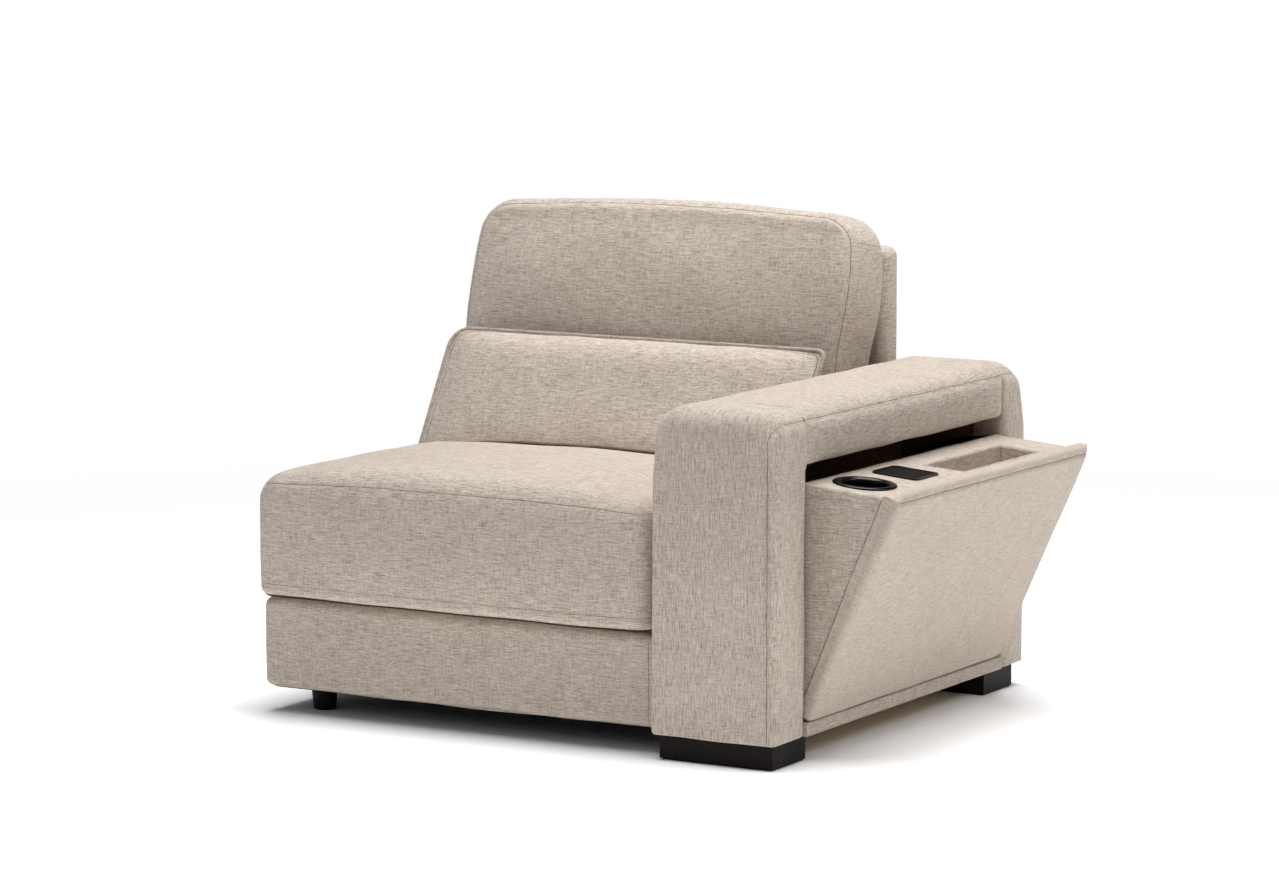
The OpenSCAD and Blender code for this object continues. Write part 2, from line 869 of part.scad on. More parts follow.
module arm_rail_cover() {
    w = rail_pad_t - soft_gap;
    h = hinge_z + rail_lip - foot_h;
    l = rear_opening - front_opening - 2 * soft_gap;
    placed() color(cloth) translate([floor_out + soft_gap, front_opening + soft_gap + l, foot_h])
        rotate([90, 0, 0]) linear_extrude(l) {
            square([w - rail_edge_r, h]);
            translate([0, rail_edge_r]) square([w, h - 2 * rail_edge_r]);
            for (z = [rail_edge_r, h - rail_edge_r]) {
                translate([w - rail_edge_r, z]) circle(r = rail_edge_r);
            }
        }
}

module cavity_lining() {
    z0 = floor_z + floor_t + soft_gap;
    z1 = pad_bottom - soft_gap;
    y0 = front_opening + soft_gap;
    y1 = rear_opening - soft_gap;
    placed() color(lining_brown) difference() {
        union() {
            block([inner_board_out, y0, z0], [cavity_x, y1, z1]);
            block([inner_board_out, y0, z0], [lining_end, y0 + lining_t, z1]);
            block([inner_board_out, y1 - lining_t, z0], [lining_end, y1, z1]);
        }
        arm_bolt_places() bolt_holes(arm_bolt_l);
    }
}

// Curved stay tracks about the hinge line
module ring_sector(r_in, r_out, a0, a1, t) {
    rotate([90, 0, 0]) rotate([0, 0, 90 + a0]) rotate_extrude(angle = a1 - a0, $fn = 120)
        translate([r_in, -t]) square([r_out - r_in, t]);
}

// Track plate drawn from the hinge line, its face at y zero and its body behind it
module stay_track() {
    slot = stay_pin_r + track_gap;
    slack = asin(slot / stay_r);
    a0 = stay_angle - open_angle;
    a1 = stay_angle;
    over = asin(track_end / stay_r);
    difference() {
        ring_sector(stay_r - track_in, stay_r + track_out, a0 - over, a1 + over, track_t);
        translate([0, -cut, 0])
            ring_sector(stay_r - slot, stay_r + slot, a0 - slack, a1 + slack, track_t + 2 * cut);
    }
}

module front_stay_track() {
    placed() color(black)
        translate([hinge_x, front_opening + soft_gap + lining_t, hinge_z]) stay_track();
}

module rear_stay_track() {
    placed() color(black)
        translate([hinge_x, rear_opening - soft_gap - lining_t - track_t, hinge_z]) stay_track();
}

// Piano hinge, drawn from the hinge line: knuckles of one leaf, from an even or odd start
module knuckles(start) {
    for (i = [start:2:knuckle_count - 1]) {
        translate([0, console_y + i * knuckle_l + knuckle_gap / 2, 0]) rotate([-90, 0, 0])
            cylinder(r = knuckle_r, h = knuckle_l - knuckle_gap);
    }
}

module pin_bore() {
    translate([0, console_y - cut, 0]) rotate([-90, 0, 0])
        cylinder(r = pin_r + pin_gap, h = console_l + 2 * cut);
}

module hinge_fixed_leaf() {
    placed() color(steel) translate([hinge_x, 0, hinge_z]) difference() {
        union() {
            knuckles(0);
            block([-leaf_w, console_y, -knuckle_r],
                [-knuckle_r - leaf_clear, console_end, leaf_t - knuckle_r]);
            for (i = [0:2:knuckle_count - 1]) {
                y = console_y + i * knuckle_l + knuckle_gap / 2;
                block([-knuckle_r - leaf_clear, y, -knuckle_r],
                    [0, y + knuckle_l - knuckle_gap, leaf_t - knuckle_r]);
            }
        }
        pin_bore();
    }
}

module hinge_moving_leaf() {
    on_console() color(steel) difference() {
        union() {
            knuckles(1);
            block([-knuckle_r, console_y, knuckle_r + leaf_clear],
                [leaf_t - knuckle_r, console_end, leaf_w]);
            for (i = [1:2:knuckle_count - 1]) {
                y = console_y + i * knuckle_l + knuckle_gap / 2;
                block([-knuckle_r, y, 0],
                    [leaf_t - knuckle_r, y + knuckle_l - knuckle_gap, knuckle_r + leaf_clear]);
            }
        }
        pin_bore();
    }
}

module hinge_pin() {
    placed() color(steel) translate([hinge_x, console_y, hinge_z]) rotate([-90, 0, 0])
        cylinder(r = pin_r, h = console_l);
}

// Socket for the charger's lead, low on the arm's rear
module inlet_place() {
    translate([(arm_x + arm_out) / 2, body_d, foot_h + inlet_up]) children();
}

module inlet_space() {
    inlet_place() block([-inlet_body_w / 2, -inlet_depth, -inlet_body_h / 2],
        [inlet_body_w / 2, cut, inlet_body_h / 2], soft_gap);
}

module power_inlet() {
    placed() color(black) inlet_place() difference() {
        union() {
            block([-inlet_w / 2, 0, -inlet_h / 2], [inlet_w / 2, inlet_flange_t, inlet_h / 2]);
            block([-inlet_body_w / 2, -inlet_depth, -inlet_body_h / 2],
                [inlet_body_w / 2, 0, inlet_body_h / 2]);
        }
        block([-socket_w / 2, inlet_flange_t - socket_depth, -socket_h / 2],
            [socket_w / 2, inlet_flange_t + cut, socket_h / 2]);
    }
    placed() color(steel) inlet_place() for (x = [-contact_space / 2, contact_space / 2]) {
        translate([x, inlet_flange_t - socket_depth, 0]) rotate([-90, 0, 0])
            cylinder(r = contact_r, h = socket_depth / 2);
    }
}

// Feet and fixings
module wood_foot(y0) {
    x0 = (core_x + core_out) / 2 - wood_foot_l / 2;
    placed() color(espresso) difference() {
        translate([x0, y0, 0]) union() {
            block([0, 0, foot_edge_r], [wood_foot_l, wood_foot_w, foot_h]);
            block([foot_edge_r, foot_edge_r, 0],
                [wood_foot_l - foot_edge_r, wood_foot_w - foot_edge_r, foot_edge_r]);
        }
        stud_holes();
    }
}

module arm_front_foot() {
    wood_foot(foot_in);
}

module arm_rear_foot() {
    wood_foot(body_d - rear_foot_in - wood_foot_w);
}

module round_foot(y) {
    r = round_foot_d / 2;
    low = r - 2 * foot_edge_r;
    placed() color(black) difference() {
        translate([round_foot_x, y, 0]) rotate_extrude()
            polygon([[0, 0], [low, 0], [r - foot_edge_r, foot_edge_r], [r, foot_h], [0, foot_h]]);
        stud_holes();
    }
}

module round_front_foot() {
    round_foot(frame_y + rail_t + block_w / 2);
}

module round_rear_foot() {
    round_foot(frame_y + frame_d - rail_t - block_w / 2);
}

module foot_studs() {
    placed() color(steel) stud_places() cylinder(r = bolt_r, h = stud_l);
}

module arm_bolts() {
    placed() color(steel) arm_bolt_places() hex_bolt(arm_bolt_l);
}

module back_bolts() {
    placed() color(steel) back_bolt_places() hex_bolt(back_bolt_l);
}

module joining_brackets() {
    placed() color(steel) difference() {
        bracket_places()
            block([-bracket_t, -bracket_l / 2, -bracket_h / 2], [0, bracket_l / 2, bracket_h / 2]);
        bracket_holes(bracket_t);
        bracket_places() translate([-bracket_t - cut, 0, 0]) {
            rotate([0, 90, 0]) cylinder(r = keyhole_r, h = bracket_t + 2 * cut);
            block([0, -keyhole_slot / 2, 0], [bracket_t + 2 * cut, keyhole_slot / 2, bracket_h / 3]);
        }
    }
}

// Console, drawn closed from the hinge line
module console_outer_board() {
    low = console_y + end_cover_t + soft_gap;
    high = console_end - end_cover_t - soft_gap;
    on_console() color(timber) difference() {
        block([board_in, low, board_foot], [board_out, high, panel_top - panel_lip]);
        leaf_space();
    }
}

// Outline of a cheek between the two boards and the tray, with the ear for its stay pin
module cheek_outline() {
    under = tray_board_t + tray_cover_t;
    dir = [-sin(inner_tilt), cos(inner_tilt)];
    across = [-cos(inner_tilt), -sin(inner_tilt)];
    inner_top = [tray_u, tray_w] + under / cos(inner_tilt - tray_slope) * -dir;
    outer_top = [board_in, tray_w - under / cos(tray_slope) + (board_in - tray_u) * tan(tray_slope)];
    foot = [inner_foot_u, inner_foot_w];
    pin = [stay_u, stay_w];
    along = (pin - foot) * dir;
    root = foot + along * dir;
    difference() {
        union() {
            polygon([[board_in, inner_foot_w], outer_top, inner_top, foot]);
            polygon([
                root + ear_half * dir - across, pin + ear_r * dir,
                pin - ear_r * dir, root - ear_half * dir - across
            ]);
            translate(pin) circle(r = ear_r);
        }
        translate(pin) circle(r = stay_pin_r + stay_pin_gap);
        translate([tray_u, tray_w]) rotate(tray_slope) translate([-inner_cover_t, -under])
            square([2 * tray_len, 2 * under]);
    }
}

module cheek(y) {
    on_console() color(timber) translate([0, y + cheek_t, 0]) rotate([90, 0, 0])
        linear_extrude(cheek_t) cheek_outline();
}

module console_front_cheek() {
    cheek(console_y + end_cover_t + soft_gap);
}

module console_rear_cheek() {
    cheek(console_end - end_cover_t - soft_gap - cheek_t);
}

// Places what is drawn on the inner board: z up along it and x outward from its inner face
module on_inner() {
    translate([inner_foot_u, 0, inner_foot_w]) rotate([0, -inner_tilt, 0]) children();
}

module console_inner_board() {
    low = console_y + end_cover_t + soft_gap + cheek_t;
    high = console_end - end_cover_t - soft_gap - cheek_t;
    reach = inner_len - inner_under - inner_board_t * tan(inner_tilt);
    on_console() color(timber) on_inner() block([0, low, inner_start], [inner_board_t, high, reach]);
}

module console_inner_cover() {
    low = console_y + end_cover_t + soft_gap + cheek_t;
    high = console_end - end_cover_t - soft_gap - cheek_t;
    on_console() color(lining_brown) on_inner()
        block([-inner_cover_t, low, inner_start], [0, high, inner_len - inner_under]);
}

// Holes through the tray for its fittings, grown by a clearance
module tray_holes(grow) {
    depth = tray_board_t + tray_cover_t + 2 * cut;
    on_tray(fitting_s, cup_y) translate([0, 0, -depth + cut])
        cylinder(r = cup_bore_d / 2 + cup_wall + grow, h = depth);
    on_tray(fitting_s, charger_y) translate([0, 0, -depth + cut])
        linear_extrude(depth) square(charger_body_w + 2 * grow, center = true);
    on_tray(pocket_s, pocket_y) block([-grow, -grow, cut - depth], [pocket_w + grow, pocket_l + grow, cut]);
}

module tray_layer(n0, n1, y0, y1, s0) {
    intersection() {
        on_tray(0, 0) block([s0, y0, n0], [2 * tray_len, y1, n1]);
        block([2 * tray_u, 0, 0], [board_in, body_d, panel_top]);
    }
}

module console_tray_board() {
    inset = end_cover_t + soft_gap;
    on_console() color(timber) difference() {
        tray_layer(-tray_cover_t - tray_board_t, -tray_cover_t, inset, console_l - inset, 0);
        tray_holes(fitting_gap);
    }
}

module console_tray_cover() {
    on_console() color(cloth_lit) difference() {
        tray_layer(-tray_cover_t, 0, 0, console_l, -inner_cover_t);
        block([board_in - soft_gap, 0, 0], [0, body_d, 2 * panel_top]);
        tray_holes(fitting_gap);
    }
}

module console_panel() {
    on_console() color(cloth) difference() {
        soft_block([board_in, console_y, panel_foot], [panel_out, console_end, panel_top], panel_edge_r);
        block([2 * board_in, 0, 0], [board_out + soft_gap, body_d, panel_top - panel_lip + soft_gap]);
    }
}

module leaf_space() {
    block([-knuckle_r, console_y - cut, 0], [board_out + cut, console_end + cut, leaf_w]);
}

module end_cover(y) {
    on_console() color(cloth) difference() {
        intersection() {
            translate([0, y + end_cover_t, 0]) rotate([90, 0, 0]) linear_extrude(end_cover_t)
                polygon([
                    [board_out, inner_foot_w],
                    [board_out, tray_w + (board_out - tray_u) * tan(tray_slope)],
                    [tray_u, tray_w],
                    [inner_foot_u, inner_foot_w]
                ]);
            block([2 * tray_u, 0, 0], [board_out, body_d, panel_top - panel_lip - soft_gap]);
            on_tray(0, 0) block([-panel_top, -console_y, -2 * panel_top],
                [2 * panel_top, body_d, -tray_cover_t - soft_gap]);
        }
        leaf_space();
    }
}

module console_front_cover() {
    end_cover(console_y);
}

module console_rear_cover() {
    end_cover(console_end - end_cover_t);
}

module cup_holder() {
    bore = cup_bore_d / 2;
    rim = cup_rim_d / 2;
    roll = cup_rim_h / 2;
    on_console() color(black) on_tray(fitting_s, cup_y) translate([0, 0, fitting_gap])
        rotate_extrude($fn = 96) {
            polygon([
                [0, -cup_depth - cup_wall], [bore - cup_taper + cup_wall, -cup_depth - cup_wall],
                [bore + cup_wall, 0], [rim - roll, 0], [rim - roll, cup_rim_h], [bore + roll, cup_rim_h / 2],
                [bore, 0], [bore - cup_taper, -cup_depth], [0, -cup_depth]
            ]);
            translate([rim - roll, roll]) circle(r = roll);
        }
}

module charger_plate(width, height, corner) {
    inner = width - 2 * corner;
    for (size = [[inner, width], [width, inner]]) {
        translate([-size[0] / 2, -size[1] / 2, 0]) cube([size[0], size[1], height]);
    }
    for (x = [-inner / 2, inner / 2], y = [-inner / 2, inner / 2]) {
        translate([x, y, 0]) cylinder(r = corner, h = height);
    }
}

module charger_bezel() {
    inside = charger_w - 2 * charger_rim;
    on_console() color(black) on_tray(fitting_s, charger_y) translate([0, 0, fitting_gap]) difference() {
        charger_plate(charger_w, charger_t, charger_corner_r);
        translate([0, 0, -cut])
            charger_plate(inside, charger_t + 2 * cut, charger_corner_r - charger_rim);
    }
}

module charger_pad() {
    inside = charger_w - 2 * charger_rim - 2 * fitting_gap;
    on_console() color(black) on_tray(fitting_s, charger_y) translate([0, 0, fitting_gap]) union() {
        charger_plate(inside, charger_t - charger_sink, charger_corner_r - charger_rim);
        block([-charger_body_w / 2, -charger_body_w / 2, -charger_body_h],
            [charger_body_w / 2, charger_body_w / 2, 0]);
    }
}

module pocket_liner() {
    wall = [liner_wall, liner_wall, 0];
    on_console() color(cloth) on_tray(pocket_s, pocket_y) difference() {
        block([0, 0, -pocket_depth], [pocket_w, pocket_l, 0]);
        block([0, 0, -pocket_depth + liner_wall] + wall, [pocket_w, pocket_l, cut] - wall);
    }
}

module stay_pin(y, length) {
    on_console() color(steel) translate([stay_u, y, stay_w]) rotate([-90, 0, 0])
        cylinder(r = stay_pin_r, h = length);
}

module front_stay_pin() {
    from = front_opening + 2 * soft_gap + lining_t;
    stay_pin(from, console_y + end_cover_t + soft_gap + cheek_t - from);
}

module rear_stay_pin() {
    from = console_end - end_cover_t - soft_gap - cheek_t;
    stay_pin(from, rear_opening - 2 * soft_gap - lining_t - from);
}

seat_front_rail();
seat_rear_rail();
seat_left_rail();
seat_right_rail();
seat_springs();
spring_clips();
seat_deck();
dust_cover();
base_front_panel();
base_side_panel();
seat_cushion();
back_frame();
back_webbing();
back_shell();
back_cushion();
lumbar_cushion();
arm_front_post();
arm_rear_post();
arm_inner_board();
arm_top_beam();
arm_floor_board();
arm_front_cover();
arm_rear_cover();
arm_top_pad();
arm_inner_cover();
arm_rail_cover();
cavity_lining();
front_stay_track();
rear_stay_track();
hinge_fixed_leaf();
hinge_pin();
power_inlet();
arm_front_foot();
arm_rear_foot();
round_front_foot();
round_rear_foot();
foot_studs();
arm_bolts();
back_bolts();
joining_brackets();
console_outer_board();
console_inner_board();
console_front_cheek();
console_rear_cheek();
console_tray_board();
console_panel();
console_front_cover();
console_rear_cover();
console_tray_cover();
console_inner_cover();
cup_holder();
charger_bezel();
charger_pad();
pocket_liner();
hinge_moving_leaf();
front_stay_pin();
rear_stay_pin();
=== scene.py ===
"""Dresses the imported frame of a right-arm sofa module with a tilt-out console in its arm.

Lengths in the classes are millimetres in the drawing frame of the part: x from the joining face to
the arm, y from the arm's front face to the rear, z up. One function turns them into the row frame
in metres. Console pieces are worked out closed, from the hinge line, and turned open at the end.
"""

import logging
import math
from dataclasses import dataclass, replace
from enum import Enum
from functools import reduce
from operator import add
from typing import Optional, Sequence

import bpy
import numpy as np
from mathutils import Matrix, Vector
from mathutils.bvhtree import BVHTree


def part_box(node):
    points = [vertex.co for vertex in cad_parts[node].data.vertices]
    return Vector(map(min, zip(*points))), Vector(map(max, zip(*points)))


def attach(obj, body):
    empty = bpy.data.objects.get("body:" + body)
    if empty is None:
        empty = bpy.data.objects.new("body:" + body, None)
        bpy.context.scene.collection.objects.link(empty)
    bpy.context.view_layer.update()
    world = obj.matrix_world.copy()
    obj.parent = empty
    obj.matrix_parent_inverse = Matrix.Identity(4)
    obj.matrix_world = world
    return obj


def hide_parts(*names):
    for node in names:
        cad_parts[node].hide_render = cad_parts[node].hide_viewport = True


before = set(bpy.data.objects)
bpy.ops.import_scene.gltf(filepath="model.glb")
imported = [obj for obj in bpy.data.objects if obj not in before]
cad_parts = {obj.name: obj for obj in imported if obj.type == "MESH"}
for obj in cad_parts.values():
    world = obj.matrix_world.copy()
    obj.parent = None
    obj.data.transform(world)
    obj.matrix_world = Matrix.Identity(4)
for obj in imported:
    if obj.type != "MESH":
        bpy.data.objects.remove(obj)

LOG = logging.getLogger("sofa")
MM = 1000.0
HINGE = np.array([1045.0, 0.0, 66.0])
HALF_DEPTH = 487.5
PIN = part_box("hinge_pin")
CENTRE = np.array([HINGE[0] - MM / 2 * (PIN[0][0] + PIN[1][0]), HALF_DEPTH, 0.0])
OPEN_DEGREES = 24.0
SHARP_DEGREES = 40.0
WEAVE = "weave"
QUARTER = np.pi / 2
TINY = 1e-9


class Body(Enum):
    """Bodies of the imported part."""

    SOFA = "sofa"
    CONSOLE = "console"


class Slot(Enum):
    """Material slots of the record."""

    CLOTH = "upholstery"
    LINING = "brown_lining"
    GLOSS = "gloss_black"
    FELT = "spring_felt"
    WEBBING = "black_webbing"


class Grain(Enum):
    """Direction in which the cloth's weft lies on a piece."""

    LEVEL = 0
    UPRIGHT = 1


# Frames


def coords(*parts: object) -> np.ndarray:
    """Numbers and arrays that broadcast together, stacked on a new last axis."""
    return np.stack(np.broadcast_arrays(*parts), axis=-1)


def unit(vectors: np.ndarray) -> np.ndarray:
    """Vectors on the last axis, scaled to length one."""
    return vectors / np.maximum(np.linalg.norm(vectors, axis=-1, keepdims=True), TINY)


def portion(values: np.ndarray, start: float, end: float) -> np.ndarray:
    """How far values are from one level to another, held between 0 and 1."""
    return np.clip((values - start) / (end - start), 0, 1)


def spun(first: np.ndarray, second: np.ndarray, degrees: float) -> tuple[np.ndarray, np.ndarray]:
    """Two coordinates turned by an angle, from the first axis toward the second."""
    c, s = math.cos(math.radians(degrees)), math.sin(math.radians(degrees))
    return first * c - second * s, first * s + second * c


def turned_x(points: np.ndarray, degrees: float) -> np.ndarray:
    """Points turned about the x axis."""
    return coords(points[..., 0], *spun(points[..., 1], points[..., 2], degrees))


def to_room(points: np.ndarray) -> np.ndarray:
    """Drawing frame in millimetres to row frame in metres."""
    return (points - CENTRE) / MM


def opened(points: np.ndarray) -> np.ndarray:
    """Turns closed console points about y by the open angle.

    Args:
        points: Points from the hinge line: u out, y, w up.

    Returns:
        The same points in the drawing frame, with the console open.
    """
    z, x = spun(points[..., 2], points[..., 0], OPEN_DEGREES)
    return coords(x, points[..., 1], z) + HINGE


# Shader maths


class Value:
    """A shader socket whose Python operators add Math nodes."""

    def __init__(self, graph: "Graph", socket: bpy.types.NodeSocket) -> None:
        """Keeps the graph and the socket."""
        self.graph = graph
        self.socket = socket

    def _math(self, operation: str, other: object = None) -> "Value":
        """Adds one Math node on this value and another value or number."""
        made = self.graph.node("ShaderNodeMath", {"operation": operation}, [self, other])
        return Value(self.graph, made.outputs[0])

    def __add__(self, other: object) -> "Value":
        """Sum."""
        return self._math("ADD", other)

    def __sub__(self, other: object) -> "Value":
        """Difference."""
        return self._math("SUBTRACT", other)

    def __mul__(self, other: object) -> "Value":
        """Product."""
        return self._math("MULTIPLY", other)

    def __truediv__(self, other: object) -> "Value":
        """Quotient."""
        return self._math("DIVIDE", other)

    def sine(self) -> "Value":
        """Sine of the value in radians."""
        return self._math("SINE")

    def power(self, exponent: float) -> "Value":
        """Value raised to a power."""
        return self._math("POWER", exponent)

    def smaller(self, other: object) -> "Value":
        """The lesser of two values."""
        return self._math("MINIMUM", other)

    def larger(self, other: object) -> "Value":
        """The greater of two values."""
        return self._math("MAXIMUM", other)


def scaled(values: Sequence[Value], factors: Sequence[float]) -> list[Value]:
    """Each value times its own factor."""
    return [value * factor for value, factor in zip(values, factors)]


class Graph:
    """Node tree of a material or of the surroundings."""

    def __init__(self, owner: bpy.types.Material | bpy.types.World) -> None:
        """Starts an empty tree on a material or a world."""
        self.owner = owner
        owner.use_nodes = True
        self.tree = owner.node_tree
        self.tree.nodes.clear()

    def node(
        self, kind: str, settings: Optional[dict] = None, inputs: object = ()
    ) -> bpy.types.Node:
        """Adds a node, sets its settings, then its sockets.

        Args:
            kind: Blender's node type.
            settings: Attributes set first.
            inputs: Values, links or numbers by socket name or in order. None leaves a socket.

        Returns:
            The node.
        """
        made = self.tree.nodes.new(kind)
        for key, value in (settings or {}).items():
            setattr(made, key, value)
        pairs = inputs.items() if isinstance(inputs, dict) else enumerate(inputs)
        for key, value in pairs:
            source = value.socket if isinstance(value, Value) else value
            if isinstance(source, bpy.types.NodeSocket):
                self.tree.links.new(source, made.inputs[key])
            elif source is not None:
                made.inputs[key].default_value = source
        return made

    def split(self, socket: bpy.types.NodeSocket) -> list[Value]:
        """The three parts of a vector socket."""
        parts = self.node("ShaderNodeSeparateXYZ", None, [socket])
        return [Value(self, out) for out in parts.outputs]

    def weave_axes(self) -> list[Value]:
        """Distances along the weft and the warp in metres, from the piece's own UV map."""
        return self.split(self.node("ShaderNodeUVMap", {"uv_map": WEAVE}).outputs[0])[:2]

    def object_axes(self) -> list[Value]:
        """Object coordinates in metres."""
        return self.split(self.node("ShaderNodeTexCoord").outputs["Object"])

    def noise(self, along: Sequence[object], detail: float = 2.0, rough: float = 0.5) -> Value:
        """Noise in 0 to 1 at a point given by three values.

        Args:
            along: Coordinates, already scaled to features per metre.
            detail: Octaves of the noise.
            rough: Weight of the finer octaves.

        Returns:
            The noise value.
        """
        point = self.node("ShaderNodeCombineXYZ", None, along)
        sockets = {"Vector": point.outputs[0], "Scale": 1.0, "Detail": detail, "Roughness": rough}
        made = self.node("ShaderNodeTexNoise", {"noise_dimensions": "3D"}, sockets)
        return Value(self, made.outputs[0])

    def ramp(self, value: Value, stops: Sequence[tuple[float, tuple]]) -> bpy.types.NodeSocket:
        """Colour of a value through a ramp.

        Args:
            value: Place on the ramp, 0 to 1.
            stops: Place and colour of each stop, rising.

        Returns:
            The colour socket.
        """
        made = self.node("ShaderNodeValToRGB", None, [value])
        elements = made.color_ramp.elements
        while len(elements) < len(stops):
            elements.new(0.5)
        for element, (place, colour) in zip(elements, stops):
            element.position, element.color = place, colour
        return made.outputs[0]

    def bump(self, height: Value, distance: float, strength: float = 0.5) -> bpy.types.NodeSocket:
        """Normal of a height in metres of the given distance."""
        sockets = {"Strength": strength, "Distance": distance, "Height": height}
        return self.node("ShaderNodeBump", None, sockets).outputs[0]

    def surface(self, sockets: dict) -> bpy.types.Material:
        """Closes the tree with a Principled shader of the given sockets."""
        shader = self.node("ShaderNodeBsdfPrincipled", None, sockets)
        self.node("ShaderNodeOutputMaterial", None, {"Surface": shader.outputs[0]})
        return self.owner


def srgb(code: str) -> tuple[float, float, float, float]:
    """Linear colour of a written hex colour."""
    parts = [int(code[i : i + 2], 16) / 255.0 for i in (1, 3, 5)]
    linear = [p / 12.92 if p <= 0.04045 else ((p + 0.055) / 1.055) ** 2.4 for p in parts]
    return (*linear, 1.0)


def toned(colour: Sequence[float], factor: float, lift: float = 0.0) -> tuple[float, ...]:
    """Colour times a factor plus a lift, at most white."""
    return (*(min(1.0, part * factor + lift) for part in colour[:3]), 1.0)


@dataclass(frozen=True)
class Streak:
    """Stretched noise in the cloth: features per metre, seed, weights in tone and height."""

    weft: float
    warp: float
    seed: float
    tone: float
    relief: float


STREAKS = (
    Streak(32.0, 560.0, 3.1, 1.0, 0.45),
    Streak(120.0, 900.0, 7.7, 0.95, 0.35),
    Streak(600.0, 38.0, 1.9, 0.68, 0.3),
)


@dataclass(frozen=True)
class WovenFinish:
    """Slubbed linen-look upholstery cloth: weft streaks, fainter warp streaks and a thread grid."""

    name: str
    dark: str = "#90847A"
    middle: str = "#C3B6A9"
    light: str = "#E0D6CB"
    contrast: float = 1.0
    thread: float = 0.0021
    cloud_scale: float = 9.0
    cloud_tone: float = 0.08
    grid_tone: float = 0.09
    grid_relief: float = 0.18

    def build(self) -> bpy.types.Material:
        """Makes the material. Colour is a ramp over summed streak noises along the UV axes."""
        g = Graph(bpy.data.materials.new(self.name))
        u, v = g.weave_axes()
        noises = [g.noise([u * s.weft, v * s.warp, s.seed], 3.0, 0.65) for s in STREAKS]
        cloud = g.noise([u * self.cloud_scale, v * self.cloud_scale, 5.2], 1.0)
        pairs = list(zip(noises, STREAKS))
        tone = reduce(add, ((noise - 0.5) * (s.tone * self.contrast) for noise, s in pairs))
        tone = tone + (cloud - 0.5) * self.cloud_tone + 0.5
        turn = 2.0 * math.pi / self.thread
        grid = (u * turn).sine() * (v * turn).sine()
        stops = ((0.22, self.dark), (0.5, self.middle), (0.8, self.light))
        colour = g.ramp(tone + grid * self.grid_tone, [(at, srgb(code)) for at, code in stops])
        height = reduce(add, (noise * s.relief for noise, s in pairs))
        sockets = {
            "Base Color": colour,
            "Roughness": 0.92,
            "Specular IOR Level": 0.18,
            "Sheen Weight": 0.12,
            "Sheen Roughness": 0.5,
            "Normal": g.bump(height + grid * self.grid_relief, 0.0006, 0.4),
        }
        return g.surface(sockets)


@dataclass(frozen=True)
class ThreadFinish:
    """Sewing thread, or painted shade in seams and grooves: a plain tone with a fine twist."""

    name: str
    tone: str
    rough: float = 0.8

    def build(self) -> bpy.types.Material:
        """Makes the material. Two near tones follow a fine noise."""
        g = Graph(bpy.data.materials.new(self.name))
        fleck = g.noise(scaled(g.object_axes(), [900.0] * 3))
        base = srgb(self.tone)
        colour = g.ramp(fleck, [(0.3, toned(base, 0.8)), (0.7, base)])
        return g.surface({"Base Color": colour, "Roughness": self.rough, "Specular IOR Level": 0.2})


@dataclass(frozen=True)
class TimberFinish:
    """Straight-grained timber along one axis: noise stretched along the grain."""

    name: str
    dark: str
    light: str
    along: int = 0
    rough: float = 0.55
    gleam: float = 0.4
    relief: float = 0.0003
    fine_across: float = 150.0
    fine_along: float = 6.0

    def build(self) -> bpy.types.Material:
        """Makes the material. The grain is noise squeezed across the grain axis."""
        g = Graph(bpy.data.materials.new(self.name))
        axes = g.object_axes()
        scales = np.full(3, self.fine_across)
        scales[self.along] = self.fine_along
        fine = g.noise(scaled(axes, scales), 4.0, 0.6)
        broad = g.noise(scaled(axes, scales / 6.0))
        pores = g.noise(scaled(axes, scales * 4.0))
        stops = [(0.3, srgb(self.dark)), (0.7, srgb(self.light))]
        sockets = {
            "Base Color": g.ramp(fine * 0.55 + broad * 0.45, stops),
            "Roughness": (fine - 0.5) * 0.2 + self.rough,
            "Specular IOR Level": self.gleam,
            "Normal": g.bump(fine * 0.6 + pores * 0.4, self.relief),
        }
        return g.surface(sockets)


@dataclass(frozen=True)
class MouldedFinish:
    """Moulded plastic, coated steel or zinc: a tone with fine grain and faint wear."""

    name: str
    tone: str
    rough: float
    metal: float = 0.0
    grain: float = 0.00006
    gleam: float = 0.5
    spread: float = 0.12

    def build(self) -> bpy.types.Material:
        """Makes the material. A broad noise varies roughness and tone, a fine one the height."""
        g = Graph(bpy.data.materials.new(self.name))
        axes = g.object_axes()
        fine = g.noise(scaled(axes, [1400.0] * 3))
        broad = g.noise(scaled(axes, [25.0] * 3), 3.0, 0.55)
        base = srgb(self.tone)
        sockets = {
            "Base Color": g.ramp(broad, [(0.35, base), (0.75, toned(base, 1.25, 0.002))]),
            "Roughness": (broad - 0.5) * self.spread + self.rough,
            "Metallic": self.metal,
            "Specular IOR Level": self.gleam,
            "Normal": g.bump(fine, self.grain),
        }
        return g.surface(sockets)


@dataclass(frozen=True)
class StrapFinish:
    """Felt, webbing or thin underside cloth: crossed threads by Object coordinates."""

    name: str
    dark: str
    light: str
    pitch: float

    def build(self) -> bpy.types.Material:
        """Makes the material. Two sine threads and a noise share the tone and the height."""
        g = Graph(bpy.data.materials.new(self.name))
        x, y, z = g.object_axes()
        turn = 2.0 * math.pi / self.pitch
        rows = ((x + z) * turn).sine() * ((y + z) * turn).sine()
        fleck = g.noise(scaled([x, y, z], [300.0] * 3), 3.0, 0.6)
        mix = rows * 0.2 + fleck
        sockets = {
            "Base Color": g.ramp(mix, [(0.3, srgb(self.dark)), (0.8, srgb(self.light))]),
            "Roughness": 0.9,
            "Specular IOR Level": 0.2,
            "Normal": g.bump(mix, 0.0005),
        }
        return g.surface(sockets)


